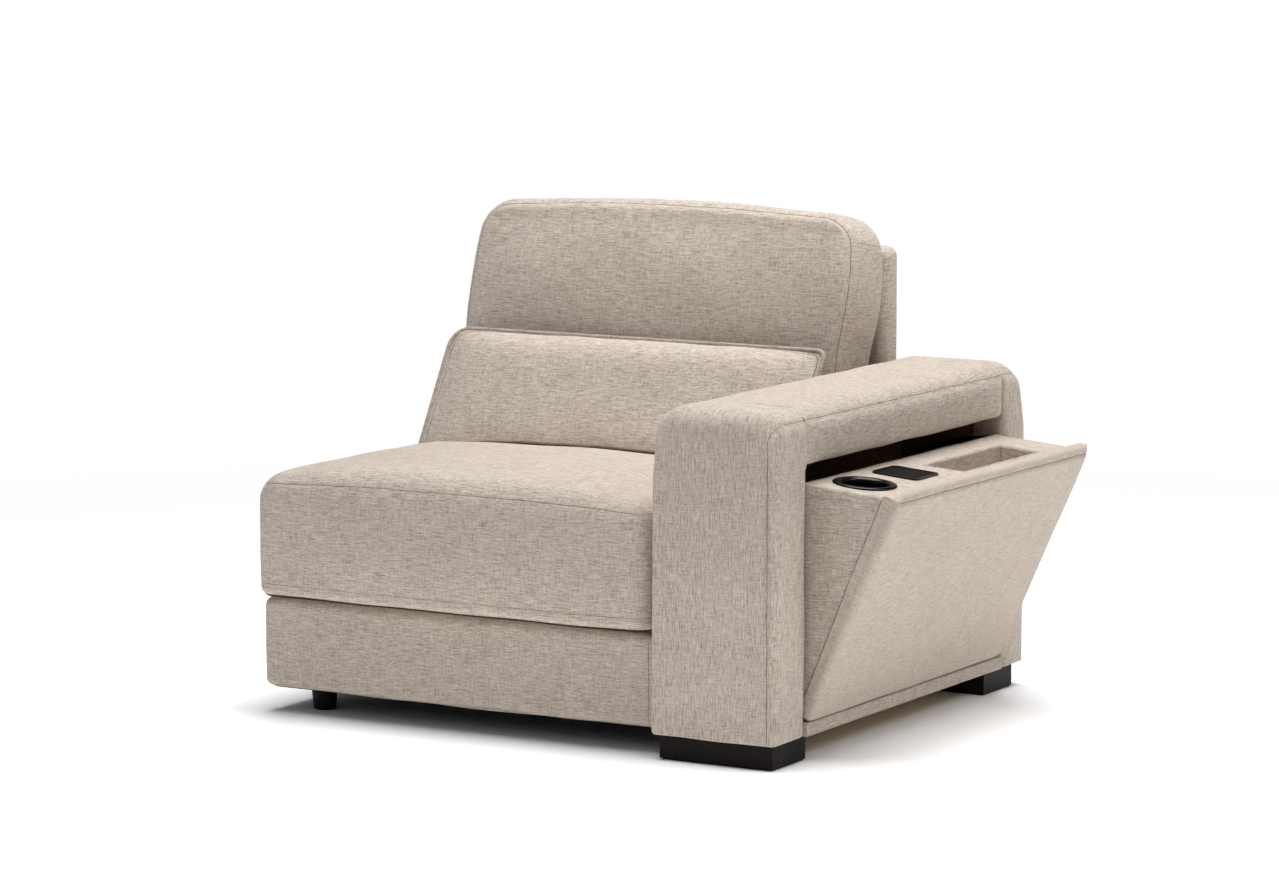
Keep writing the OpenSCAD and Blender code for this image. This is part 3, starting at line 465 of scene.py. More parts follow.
class Finishes:
    """Every material of the part, made once."""

    def __init__(self) -> None:
        """Builds the materials."""
        self.cloth = WovenFinish("woven_cloth").build()
        self.soft_cloth = WovenFinish("woven_cloth_soft", contrast=0.62).build()
        # Darker copy of the cloth: painted shade for the lumbar's flange.
        self.shaded_cloth = WovenFinish(
            "woven_cloth_shaded", "#7E7268", "#A99C90", "#C6BCB0"
        ).build()
        self.lining = WovenFinish(
            "brown_lining_cloth", "#74563C", "#937356", "#AE8E70", 0.8
        ).build()
        # seam_shade and groove_shade are painted shade: dark lines in seam valleys and in the
        # crevice under the seat.
        self.seam = ThreadFinish("seam_shade", "#74685B").build()
        self.groove = ThreadFinish("groove_shade", "#33291F", 0.9).build()
        self.thread = ThreadFinish("sewing_thread", "#BCAF9E", 0.6).build()
        self.timber_x, self.timber_y, self.timber_z = (
            TimberFinish("frame_timber_" + axis, "#A8906C", "#CDB897", k).build()
            for k, axis in enumerate("xyz")
        )
        self.espresso = TimberFinish(
            "espresso_timber", "#120C0A", "#1C1412", rough=0.5, gleam=0.12, relief=0.00012
        ).build()
        self.plastic = MouldedFinish("black_moulding", "#0A0A0A", 0.5, gleam=0.12).build()
        self.gloss = MouldedFinish(
            "gloss_black_moulding", "#050505", 0.18, grain=0.00001, gleam=0.3
        ).build()
        self.zinc = MouldedFinish("zinc_plated_steel", "#9C9C98", 0.38, 1.0, 0.00003).build()
        self.black_steel = MouldedFinish("black_coated_steel", "#101010", 0.45, 0.3).build()
        self.felt = StrapFinish("spring_felt_cloth", "#6E6A62", "#A29D92", 0.002).build()
        self.webbing = StrapFinish("black_web", "#0D0D0D", "#2A2A2A", 0.0035).build()
        self.cambric = StrapFinish("underside_cloth", "#0B0B0B", "#1D1D1D", 0.0012).build()


# Meshes


@dataclass
class Shell:
    """Points and faces of a surface, with the points that its weave is measured on."""

    points: np.ndarray
    quads: np.ndarray
    tris: np.ndarray
    pattern: Optional[np.ndarray] = None

    def joined(self, other: "Shell") -> "Shell":
        """This shell and another as one."""
        shift = len(self.points)
        return Shell(
            np.concatenate([self.points, other.points]),
            np.concatenate([self.quads, other.quads + shift]),
            np.concatenate([self.tris, other.tris + shift]),
        )

    def faces(self) -> list:
        """Faces as lists, for a search tree."""
        return self.quads.tolist() + self.tris.tolist()

    def normals(self) -> np.ndarray:
        """Unit normal of every point: the sum of its faces' cross products, scaled to one."""
        total = np.zeros_like(self.points)
        for faces in (self.quads, self.tris):
            if len(faces):
                p = self.points[faces]
                across = np.cross(p[:, 2] - p[:, 0], p[:, -1] - p[:, 1])
                for k in range(faces.shape[1]):
                    np.add.at(total, faces[:, k], across)
        return unit(total)


NO_TRIS = np.zeros((0, 3), int)


def stacked(rings: np.ndarray, low_cap: bool = True, high_cap: bool = True) -> Shell:
    """Skin over a stack of rings: quads between neighbours, and a fan to the middle of each end.

    Args:
        rings: Array of rings, points on a ring and x, y, z. Each ring runs anticlockwise as seen
            from the side to which the rings rise.
        low_cap: Whether the first ring is closed.
        high_cap: Whether the last ring is closed.

    Returns:
        The shell.
    """
    m, n = rings.shape[:2]
    points = rings.reshape(-1, 3)
    k, i = np.meshgrid(np.arange(m - 1), np.arange(n), indexing="ij")
    a = k * n + i
    b = k * n + (i + 1) % n
    quads = coords(a, b, b + n, a + n).reshape(-1, 4)
    tris = NO_TRIS
    around = np.arange(n)
    following = (around + 1) % n
    last = (m - 1) * n
    for wanted, ring, rim in (
        (low_cap, rings[0], (following, around)),
        (high_cap, rings[-1], (last + around, last + following)),
    ):
        if wanted:
            tris = np.concatenate([tris, coords(len(points), *rim)])
            points = np.concatenate([points, ring.mean(0, keepdims=True)])
    return Shell(points, quads, tris)


def sheet_grid(points: np.ndarray) -> Shell:
    """Open surface over a grid of points, facing the cross product of its first and second axes.

    Args:
        points: Array of rows, columns and x, y, z.

    Returns:
        The shell.
    """
    m, n = points.shape[:2]
    i, j = np.meshgrid(np.arange(m - 1), np.arange(n - 1), indexing="ij")
    a = i * n + j
    quads = coords(a, a + n, a + n + 1, a + 1).reshape(-1, 4)
    return Shell(points.reshape(-1, 3), quads, NO_TRIS)


def ring_tube(path: np.ndarray, radius: float, sides: int) -> Shell:
    """Tube of constant radius round a closed path, each section set by the room's upright.

    Args:
        path: Points of the centre line.
        radius: Radius of the tube.
        sides: Points round the tube.

    Returns:
        The shell.
    """
    ahead = unit(np.roll(path, -1, 0) - np.roll(path, 1, 0))
    side = unit(np.cross(ahead, np.array([0.0, 0.0, 1.0])))
    up = np.cross(side, ahead)
    a = (-2 * np.pi * np.arange(sides) / sides)[None, :, None]
    rings = path[:, None] + radius * (np.cos(a) * side[:, None] + np.sin(a) * up[:, None])
    return stacked(closed(rings), False, False)


def closed(ring: np.ndarray) -> np.ndarray:
    """Ring with its first point repeated at the end."""
    return np.concatenate([ring, ring[:1]])


def run_length(path: np.ndarray) -> np.ndarray:
    """Distance of each point from the start along a path."""
    return np.concatenate([[0], np.cumsum(np.linalg.norm(np.diff(path, axis=0), axis=1))])


def along_path(at: np.ndarray, run: np.ndarray, path: np.ndarray) -> np.ndarray:
    """Rows of a path between its points, at distances from its start."""
    return coords(*(np.interp(at, run, column) for column in path.T))


def resampled(path: np.ndarray, step: float) -> np.ndarray:
    """Points at even steps along a path, with its ends kept."""
    run = run_length(path)
    count = max(2, int(round(run[-1] / step)) + 1)
    return along_path(np.linspace(0, run[-1], count), run, path)


def weave_map(pattern: np.ndarray, shell: Shell, grain: Grain) -> np.ndarray:
    """Lays the cloth flat on each face by the axis that the face looks along most.

    Args:
        pattern: Points in millimetres on which the weave is measured.
        shell: Faces of the piece.
        grain: Direction of the weft.

    Returns:
        Distances in metres along weft and warp for each face corner.
    """
    out = []
    for faces in (shell.quads, shell.tris):
        if not len(faces):
            continue
        p = pattern[faces]
        axis = np.argmax(np.abs(np.cross(p[:, 2] - p[:, 0], p[:, -1] - p[:, 1])), axis=1)
        first = np.where(axis == 0, 1, 0)[:, None, None]
        second = np.where(axis == 2, 1, 2)[:, None, None]
        pair = [np.take_along_axis(p, way, 2)[..., 0] for way in (first, second)]
        out.append(coords(*(pair if grain is Grain.LEVEL else pair[::-1])).reshape(-1, 2) / MM)
    return np.concatenate(out)


def undulation(points: np.ndarray, height: float, length: float, seed: int) -> np.ndarray:
    """Soft unevenness: the mean of several sine waves in random directions.

    Args:
        points: Points in millimetres.
        height: Largest rise.
        length: Typical wave length.
        seed: Seed of the directions.

    Returns:
        Rise of each point.
    """
    waves, gain = 7, 1.6
    rng = np.random.default_rng(seed)
    ways = unit(rng.normal(size=(waves, 3)))
    ways *= 2 * np.pi / (length * rng.uniform(0.7, 1.6, (waves, 1)))
    phase = rng.uniform(0, 2 * np.pi, waves)
    return height * np.sin(points @ ways.T + phase).mean(-1) * gain


def roughened(shell: Shell, height: float, length: float, seed: int) -> Shell:
    """Moves each point along its normal by a soft unevenness."""
    rise = undulation(shell.points, height, length, seed)
    return replace(shell, points=shell.points + shell.normals() * rise[:, None])


# Cushion forms


@dataclass(frozen=True)
class LoopCount:
    """Points of a loop: along a corner, a side across x and a side across y."""

    corner: int
    wide: int
    deep: int


def rounded_loops(half: np.ndarray, radius: np.ndarray, count: LoopCount) -> np.ndarray:
    """Loops round rounded rectangles: quarter circles joined by straight sides, anticlockwise.

    Args:
        half: Half widths and depths, one pair for each loop.
        radius: Corner radius of each loop, or four for its four corners.
        count: Points of a loop.

    Returns:
        Array of loops, points, x and y.
    """
    radii = np.broadcast_to(radius[:, None] if radius.ndim == 1 else radius, (len(half), 4))
    t = np.linspace(0, 1, count.corner + 1)
    corners = []
    for q, sign in enumerate([(1, 1), (-1, 1), (-1, -1), (1, -1)]):
        a = QUARTER * (q + t)
        centre = (half - radii[:, q, None]) * np.array(sign)
        corners.append(centre[:, None] + radii[:, q, None, None] * coords(np.cos(a), np.sin(a)))
    parts = []
    for q, corner in enumerate(corners):
        steps = count.deep if q % 2 else count.wide
        f = (np.arange(1, steps) / steps)[None, :, None]
        parts += [corner, corner[:, -1:] * (1 - f) + corners[(q + 1) % 4][:, :1] * f]
    return np.concatenate(parts, axis=1)


@dataclass
class CushionForm:
    """Cushion lying flat: rounded edges, swelling sides and a crown on one or both faces.

    The crown spans crown_half either side of crown_mid in y, or the whole depth if that is None.
    """

    size: tuple[float, float, float]
    corner: float | tuple[float, float, float, float]
    low_edge: float
    high_edge: float
    count: LoopCount
    bulge: float = 0.0
    crown: float = 0.0
    low_crown: float = 0.0
    power: float = 2.4
    crown_half: Optional[float] = None
    crown_mid: float = 0.0
    margin: float = 0.0
    rise: float = 0.0

    def steps(self, face: int, edge: int, side: int) -> np.ndarray:
        """Steps over the profile: low face 0-1, low edge 1-2, side 2-3, high edge 3-4, face 4-5.

        Args:
            face: Steps over each face, closer together toward its edge.
            edge: Steps round each edge.
            side: Steps up the side.

        Returns:
            The rising steps.
        """
        crowding, innermost = 1.15, 0.03
        parts = [
            np.maximum(1 - np.linspace(1, 0, face + 1)[:-1] ** crowding, innermost),
            np.linspace(1, 2, edge + 1)[:-1],
            np.linspace(2, 3, side + 1)[:-1],
            np.linspace(3, 4, edge + 1)[:-1],
            4 + np.linspace(0, 1, face + 1)[:-1] ** crowding,
            [5 - innermost],
        ]
        return np.unique(np.concatenate(parts))

    def ring(self, t: float) -> np.ndarray:
        """The ring at one profile step."""
        return self.rings(np.array([t]))[0]

    def rings(self, t: np.ndarray) -> np.ndarray:
        """Rings at profile steps.

        The inset, bow and height follow quarter circles on the edges, a parabola swells the side,
        and each face rises by crown times (1 - |x|^p)(1 - |y|^p) of the reach.

        Args:
            t: Profile steps, 0 to 5.

        Returns:
            Array of rings, points and x, y, z.
        """
        width, depth, height = self.size
        half = np.array([width / 2, depth / 2])
        shrink = np.where(t < 1, t, np.where(t > 4, 5 - t, 1.0))
        low, middle, high = portion(t, 1, 2) * QUARTER, portion(t, 2, 3), portion(t, 3, 4) * QUARTER
        inset = self.low_edge * (1 - np.sin(low)) + self.high_edge * (1 - np.cos(high))
        side_bow = 0.5 + 2 * middle * (1 - middle)
        edge_bow = np.where(t > 3, np.cos(high) / 2, side_bow)
        bow = self.bulge * np.where(t < 2, np.sin(low) / 2, edge_bow)
        side = height - self.low_edge - self.high_edge
        z = self.low_edge * (1 - np.cos(low)) + side * middle + self.high_edge * np.sin(high)
        low_share = np.where(t < 1, 1.0, np.where(t < 2, 1 - np.sin(low), 0.0))
        high_share = np.where(t > 4, 1.0, np.where(t > 3, np.sin(high), 0.0))
        inner = half - inset[:, None]
        corner = np.atleast_1d(self.corner)[None]
        flat = rounded_loops(inner, np.maximum(corner - inset[:, None], corner / 4), self.count)
        share = flat / inner[:, None]
        swell = share * (1 - share[..., ::-1] ** 2)
        flat = (flat + bow[:, None, None] * swell) * shrink[:, None, None]
        x, y = flat[..., 0], flat[..., 1]
        lift = self.rise * (1 - (x / half[0]) ** 2) * (half[1] - y) / (2 * half[1])
        reach_y = half[1] - self.margin if self.crown_half is None else self.crown_half
        across = portion(np.abs(x), 0, half[0] - self.margin)
        along = portion(np.abs(y - self.crown_mid), 0, reach_y)
        dome = (1 - across**self.power) * (1 - along**self.power)
        crown = high_share[:, None] * self.crown - low_share[:, None] * self.low_crown
        return coords(x, y + lift, z[:, None] + dome * crown)


FACINGS = {
    "+x": ((0, 1, 0), (0, 0, 1), (1, 0, 0)),
    "-x": ((0, -1, 0), (0, 0, 1), (-1, 0, 0)),
    "-y": ((1, 0, 0), (0, 0, 1), (0, -1, 0)),
    "+z": ((1, 0, 0), (0, 1, 0), (0, 0, 1)),
    "-z": ((1, 0, 0), (0, -1, 0), (0, 0, -1)),
}


def faced(points: np.ndarray, facing: str, origin: Sequence[float]) -> np.ndarray:
    """Stands a flat-lying form up, its top looking along an axis and its middle at a point."""
    return points @ np.array(FACINGS[facing], float) + np.array(origin, float)


@dataclass
class Slab:
    """Thin padded board between two corners, with its rounded face looking along an axis."""

    low: tuple[float, float, float]
    high: tuple[float, float, float]
    facing: str
    corner: float
    edge: float
    back_edge: float = 0.8
    crown: float = 0.0
    unevenness: float = 0.4
    step: float = 16.0

    def shell(self) -> Shell:
        """Rounded slab filling the box between its corners."""
        low, high = np.array(self.low), np.array(self.high)
        size = np.abs(np.array(FACINGS[self.facing])) @ (high - low)
        axis = "xyz".index(self.facing[1])
        origin = (low + high) / 2
        origin[axis] = low[axis] if self.facing[0] == "+" else high[axis]
        wide, deep = (max(6, int(length / self.step)) for length in size[:2])
        form = CushionForm(
            (size[0], size[1], size[2] - self.crown), self.corner, self.back_edge, self.edge,
            LoopCount(6, wide, deep), crown=self.crown, power=6.0,
        )
        rings = faced(form.rings(form.steps(14, 5, 4)), self.facing, origin)
        return roughened(stacked(rings), self.unevenness, 180.0, int(size[0]))


# Seams


@dataclass
class Seam:
    """A sewn line on a cloth surface.

    The path is brought onto the surface. A soft valley is pressed along it, and rows of stitches
    run beside it at the given offsets. A dark line lies in it: the joint, with painted shade.
    """

    path: np.ndarray
    depth: float = 1.6
    width: float = 4.0
    line: float = 1.8
    offsets: tuple[float, ...] = ()
    radius: float = 0.45


def pressed(shell: Shell, seams: Sequence[Seam]) -> Shell:
    """Presses each seam's valley into a shell: depth times a bell of the distance to the seam.

    Args:
        shell: Surface of the piece.
        seams: Seams on it.

    Returns:
        The shell with its points moved inward.
    """
    step, widths, chunk = 3.0, 4, 4000
    sink = np.zeros(len(shell.points))
    for seam in seams:
        if seam.depth == 0:
            continue
        path = resampled(seam.path, step)
        low, high = path.min(0) - widths * seam.width, path.max(0) + widths * seam.width
        near = np.where(np.all((shell.points > low) & (shell.points < high), axis=1))[0]
        for part in np.array_split(near, max(1, len(near) // chunk)):
            gap = np.linalg.norm(shell.points[part][:, None] - path[None], axis=2).min(1)
            sink[part] = np.maximum(sink[part], seam.depth * np.exp(-((gap / seam.width) ** 2)))
    return replace(shell, points=shell.points - shell.normals() * sink[:, None])


def laid(tree: BVHTree, points: np.ndarray) -> tuple[np.ndarray, np.ndarray]:
    """Nearest points of a surface, and its normals there."""
    found = [tree.find_nearest(Vector(p)) for p in points.tolist()]
    return np.array([f[0] for f in found]), np.array([f[1] for f in found])


def seam_trim(shell: Shell, seams: Sequence[Seam]) -> tuple[Shell, Optional[Shell]]:
    """Lines and stitches of seams, laid on a shell.

    Args:
        shell: Surface of the piece.
        seams: Seams on it.

    Returns:
        Shell of the dark lines and shell of the stitches, None if there are none.
    """
    step, sunk, proud = 6.0, 0.25, 0.35
    tree = BVHTree.FromPolygons(shell.points.tolist(), shell.faces())
    lines: Optional[Shell] = None
    stitches: Optional[Shell] = None
    for seam in seams:
        place, normal = laid(tree, resampled(seam.path, step))
        across = unit(np.cross(normal, unit(np.gradient(place, axis=0))))
        edge = across * seam.line / 2
        grid = [place + edge - normal * sunk, place + normal * proud, place - edge - normal * sunk]
        ribbon = sheet_grid(np.stack(grid))
        lines = ribbon if lines is None else lines.joined(ribbon)
        for offset in seam.offsets:
            row = stitch_row(*laid(tree, place + across * offset), seam.radius)
            stitches = row if stitches is None else stitches.joined(row)
    return lines, stitches


def stitch_row(row: np.ndarray, up: np.ndarray, radius: float) -> Shell:
    """Row of stitches: small spindles along a line, each sinking into the cloth at its ends.

    Args:
        row: Points of the line on the surface.
        up: Surface normals at those points.
        radius: Radius of the thread.

    Returns:
        One shell of all the stitches.
    """
    stitch, gap, sides = 3.4, 2.0, 5
    run = run_length(row)
    middles = np.arange((stitch + gap) / 2, run[-1], stitch + gap)
    at = middles[:, None] + np.array([-0.5, -0.28, 0.28, 0.5]) * stitch
    lift = np.array([-0.6, 0.55, 0.55, -0.6]) * radius
    thick = (np.array([0.35, 1.0, 1.0, 0.35]) * radius)[:, None, None]
    normal = unit(along_path(at, run, up))
    centre = along_path(at, run, row) + normal * lift[:, None]
    side = np.cross(unit(centre[:, -1:] - centre[:, :1]), normal)
    a = (2 * np.pi * np.arange(sides) / sides)[:, None]
    rings = centre[:, :, None] + thick * (
        np.cos(a) * side[:, :, None] + np.sin(a) * normal[:, :, None]
    )
    one = stacked(rings[0], False, False).quads[:, [0, 3, 2, 1]]
    first = np.arange(len(middles)) * at.shape[1] * sides
    return Shell(rings.reshape(-1, 3), (one + first[:, None, None]).reshape(-1, 4), NO_TRIS)


# Pieces


@dataclass(frozen=True)
class SheetCut:
    """Flat size of a sheet of cloth in metres, how it is held and what it lies on."""

    flat: tuple[float, float]
    held: str
    rests_on: tuple[str, ...]
    area: Optional[float] = None


@dataclass(frozen=True)
class Piece:
    """One visible piece: its name, the CAD nodes it stands for, and how it is made.

    A piece on the console is given in the closed console frame. A padded piece carries a fill,
    which this script does not read.
    Its material is the woven cloth unless one is given.
    """

    name: str
    stands_for: tuple[str, ...] = ()
    body: Body = Body.SOFA
    fill: Optional[float] = None
    material: Optional[bpy.types.Material] = None
    slot: Slot = Slot.CLOTH
    grain: Grain = Grain.LEVEL


@dataclass
class Workshop:
    """Finishes shared by the sub-assemblies, and the making of pieces."""

    finishes: Finishes

    def make(self, piece: Piece, shell: Shell) -> None:
        """Puts a shell into a Blender mesh and ties it to the frame.

        Args:
            piece: What the shell is.
            shell: Points and faces, in drawing or closed console millimetres.
        """
        points = to_room(opened(shell.points) if piece.body is Body.CONSOLE else shell.points)
        mesh = bpy.data.meshes.new(piece.name)
        corners = np.concatenate([shell.quads.ravel(), shell.tris.ravel()]).astype(np.int32)
        totals = np.repeat([4, 3], [len(shell.quads), len(shell.tris)])
        starts = (np.cumsum(totals) - totals).astype(np.int32)
        mesh.vertices.add(len(points))
        mesh.vertices.foreach_set("co", points.astype(np.float32).ravel())
        mesh.loops.add(len(corners))
        mesh.loops.foreach_set("vertex_index", corners)
        mesh.polygons.add(len(totals))
        mesh.polygons.foreach_set("loop_start", starts)
        mesh.polygons.foreach_set("use_smooth", np.ones(len(totals), bool))
        mesh.update(calc_edges=True)
        mesh.validate()
        if len(mesh.loops) == len(corners):
            pattern = shell.points if shell.pattern is None else shell.pattern
            layer = mesh.uv_layers.new(name=WEAVE)
            uv = weave_map(pattern, shell, piece.grain)
            layer.data.foreach_set("uv", uv.astype(np.float32).ravel())
        mesh.set_sharp_from_angle(angle=math.radians(SHARP_DEGREES))
        mesh.materials.append(piece.material or self.finishes.cloth)
        made = bpy.data.objects.new(piece.name, mesh)
        bpy.context.scene.collection.objects.link(made)
        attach(made, piece.body.value)
        if piece.stands_for:
            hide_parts(*piece.stands_for)
        LOG.info("%s: %d faces", piece.name, len(totals))

    def sew(self, piece: Piece, shell: Shell, seams: Sequence[Seam]) -> Shell:
        """Makes a cloth piece with its seams pressed in and its lines and stitches laid on.

        Args:
            piece: What the shell is.
            shell: Surface before sewing.
            seams: Seams on it.

        Returns:
            The surface after sewing.
        """
        sunk = pressed(shell, seams)
        self.make(piece, sunk)
        lines, stitches = seam_trim(sunk, seams)
        # The dark seam lines, in the seam_shade finish, mark each joint and paint the shade along
        # it.
        trim = Piece(piece.name + "_seam", body=piece.body, material=self.finishes.seam)
        self.make(trim, lines)
        if stitches is not None:
            name = piece.name + "_stitching"
            self.make(replace(trim, name=name, material=self.finishes.thread), stitches)
        return sunk

    def dress(self, material: bpy.types.Material, *nodes: str) -> None:
        """Gives CAD nodes that stay their finish."""
        for node in nodes:
            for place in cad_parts[node].material_slots:
                place.material = material


# Sub-assemblies


@dataclass
class SeatUnit:
    """Upholstered base and seat cushion."""

    shop: Workshop
    width: float = 815.0
    front_y: float = 57.3
    rear_y: float = 904.7
    low_z: float = 43.0
    top_z: float = 213.0

    def build(self) -> None:
        """Makes the cushion, the base panels and the hidden felt and underside."""
        self.cushion()
        self.base_front()
        self.flat_pieces()

    def cushion(self) -> None:
        """Seat cushion: rounded box with a crown toward its front, seams under its edges."""
        form = CushionForm(
            (811.6, 889, 220), 34, 20, 46, LoopCount(9, 80, 88),
            bulge=11, crown=31, power=2.7, crown_half=335, crown_mid=-190,
        )
        at = np.array([398.0, 448.5, 213.3])
        shell = roughened(stacked(form.rings(form.steps(34, 10, 26)) + at), 1.6, 170.0, 11)
        groove, low, top = (closed(form.ring(t) + at) for t in (1.36, 2.04, 3.45))
        seams = [
            Seam(top, 0.8, 3.5, 1.5, (2.4,), radius=0.35),
            Seam(low, 0.5, 3.0, 0.9, (2.4,), radius=0.3),
        ]
        sewn = self.shop.sew(Piece("seat_cushion_cover", ("seat_cushion",), fill=0.7), shell, seams)
        # Painted shade: a wide dark ribbon low on the seat's edge, in the crevice above the base.
        shade, _ = seam_trim(sewn, [Seam(groove, line=10.5)])
        self.shop.make(Piece("seat_groove_shade", material=self.shop.finishes.groove), shade)

    def base_front(self) -> None:
        """Padded panel on the front of the base, with an upright seam near the arm."""
        width, height, seam_in = 825.0, 161.6, 22
        form = CushionForm(
            (width, height, 17.0), 14, 3, 15, LoopCount(6, 90, 24), bulge=3, crown=3, power=6.0
        )
        at = (398.5, 57.0, 126.8)
        rings = faced(form.rings(form.steps(16, 8, 4)), "-y", at)
        shell = roughened(stacked(rings), 0.9, 150.0, 5)
        upright = coords(at[0] + width / 2 - seam_in, 37.0, np.linspace(47, 209, 40))
        piece = Piece("base_front_cover", ("base_front_panel",), fill=0.5)
        self.shop.sew(piece, shell, [Seam(upright, 1.2, 4.0, 1.4)])

    def flat_pieces(self) -> None:
        """Cover on the joining side, felt over the springs and thin cloth under the frame."""
        finishes = self.shop.finishes
        side = Slab(
            (-10.0, self.front_y, self.low_z), (-0.3, self.rear_y, self.top_z), "-x", 6, 6,
            crown=1.0,
        )
        self.shop.make(Piece("base_side_cover", ("base_side_panel",), fill=0.4), side.shell())
        deck = Slab(
            (0.0, self.front_y, 206.0), (self.width, self.rear_y, self.top_z), "+z", 4, 3,
            unevenness=0.0, step=30,
        )
        felt = Piece("seat_deck_felt", ("seat_deck",), material=finishes.felt, slot=Slot.FELT)
        self.shop.make(felt, deck.shell())
        under = Slab(
            (0.0, self.front_y, self.low_z), (self.width, self.rear_y, self.low_z + 1.0), "-z", 2,
            0.4, 0.2, unevenness=0.0, step=30,
        )
        cloth = Piece(
            "underside_cloth", ("dust_cover",), material=finishes.cambric, slot=Slot.WEBBING
        )
        self.shop.make(cloth, under.shell())


@dataclass
class BackUnit:
    """Upholstered back frame with its attached cushion and the loose lumbar cushion."""

    shop: Workshop
    cushion_size: tuple[float, float, float] = (801.0, 434.4, 118.0)
    cushion_at: tuple[float, float, float] = (388.0, 841.23, 440.9)
    cushion_lean: float = 80.5
    swell: float = 18.5
    fall: float = 14.9
    pinch: float = 14.0
    pinch_span: tuple[float, float] = (0.78, 0.42)
    belly: float = 13.0
    belly_top: float = 0.9
    join_y: float = 160.0
    lumbar_size: tuple[float, float] = (799.0, 256.0)
    lumbar_at: tuple[float, float, float] = (387.5, 561.5, 410.6)
    lumbar_lean: float = 59.95
    lumbar_seam: tuple[float, float] = (13.0, 9.0)
    flange_radius: float = 5.0
    flange_rise: float = 1.4

    def build(self) -> None:
        """Makes the shell, the cushion and the lumbar cushion."""
        self.shell()
        self.cushion()
        self.lumbar()

    def shell(self) -> None:
        """Upholstered frame behind the cushion, with a seam round its rear face."""
        form = CushionForm((800, 764, 66), 20, 20, 20, LoopCount(6, 60, 58))
        at, seam_foot = (394.0, 971.0, 425.0), 70
        surface = stacked(faced(form.rings(form.steps(20, 8, 6)), "-y", at))
        surface = roughened(surface, 0.8, 220.0, 23)
        rear = faced(form.ring(1.5), "-y", at)
        seams = [Seam(kept_run(rear, rear[:, 2] > seam_foot), 1.2, 4.0, 1.6, (3.0,))]
        self.shop.sew(Piece("back_shell_cover", ("back_shell",), fill=0.3), surface, seams)

    def on_seat(self, points: np.ndarray) -> np.ndarray:
        """Back cushion's points in place, leaning on the shell.

        Its sides swell by a half sine of the height, and its right side is drawn in low down. Its
        top falls toward the ends with the square of the reach across and the cube of the height.
        Its front bellies by a half sine of the height.

        Args:
            points: Points of the cushion lying flat.

        Returns:
            Points in the drawing frame.
        """
        width, height, thick = self.cushion_size
        up = np.clip(points[..., 1] / height + 0.5, 0, 1)
        reach = points[..., 0] / (width / 2)
        pinch = self.pinch * portion(up, *self.pinch_span) ** 1.5 * portion(reach, 0, 1)
        wider = reach * self.swell * np.sin(np.pi * up) - pinch
        taller = height / 2 - self.fall * reach**2 * up**3
        belly = self.belly * np.sin(np.pi * portion(up, 0, self.belly_top)) * points[..., 2] / thick
        soft = points + coords(wider, taller, belly)
        return turned_x(soft, self.cushion_lean) + np.array(self.cushion_at)

    def cushion(self) -> None:
        """Attached back cushion: boxed, with a seam round each face and one across its side."""
        form = CushionForm(
            self.cushion_size, 62, 20, 24, LoopCount(10, 78, 44),
            bulge=3, crown=28, power=2.6, crown_mid=20,
        )
        rings = self.on_seat(form.rings(form.steps(26, 9, 16)))
        shell = roughened(stacked(rings), 2.0, 150.0, 31)
        front, rear = (closed(self.on_seat(form.ring(t))) for t in (3.62, 1.5))
        side = form.rings(np.linspace(1.7, 3.3, 30))
        middle = side[len(side) // 2]
        join = np.hypot(middle[:, 0] - self.cushion_size[0] / 2, middle[:, 1] - self.join_y)
        across = self.on_seat(side[:, np.argmin(join)])
        seams = [
            Seam(front, 2.0, 4.5, 2.2),
            Seam(rear, 2.0, 5.0, 1.8),
            Seam(across, 0.8, 3.0, 1.5),
        ]
        self.shop.sew(Piece("back_cushion_cover", ("back_cushion",), fill=0.7), shell, seams)

    def leaning(self, points: np.ndarray) -> np.ndarray:
        """Lumbar cushion's points in place against the back cushion."""
        up = turned_x(points + np.array([0, self.lumbar_size[1] / 2, 0]), self.lumbar_lean)
        return up + np.array(self.lumbar_at)

    def lumbar(self) -> None:
        """Loose cushion with a thick rolled flange and a row of stitches inside it."""
        width, height = self.lumbar_size
        form = CushionForm(
            (width, height, 7), (16, 39, 14, 14), 2.33, 2.33, LoopCount(10, 80, 26), crown=44,
            low_crown=46, power=5.5, margin=9, rise=21.7, crown_half=150.0, crown_mid=-24.0,
        )
        rings = self.leaning(form.rings(form.steps(34, 4, 2)))
        shell = roughened(stacked(rings), 1.2, 120.0, 47)
        seam_in, seam_height = self.lumbar_seam
        inner = form.ring(4.0) * np.array([1 - seam_in / width, 1 - seam_in / height, 1.0])
        inner[:, 2] = seam_height
        seams = [Seam(closed(self.leaning(inner)), 1.0, 2.5, 2.6, (-3.0,))]
        self.shop.sew(Piece("lumbar_cushion_cover", ("lumbar_cushion",), fill=0.6), shell, seams)
        # The flange's darker shaded_cloth is painted shade of the band tucked behind the face.
        rim = self.leaning(form.ring(2.5) * np.array([1.0, 1.0, self.flange_rise]))
        flange = Piece("lumbar_flange", material=self.shop.finishes.shaded_cloth)
        self.shop.make(flange, ring_tube(rim, self.flange_radius, 12))


def kept_run(ring: np.ndarray, keep: np.ndarray) -> np.ndarray:
    """Longest run of a closed ring whose points are kept.

    Args:
        ring: Points of the ring.
        keep: Which points are kept.

    Returns:
        The run of points in order.
    """
    start = int(np.argmin(keep))
    kept = np.roll(keep, -start)
    runs = np.split(np.arange(len(ring)), np.where(np.diff(kept.astype(int)) != 0)[0] + 1)
    return np.roll(ring, -start, 0)[max((run for run in runs if kept[run[0]]), key=len)]


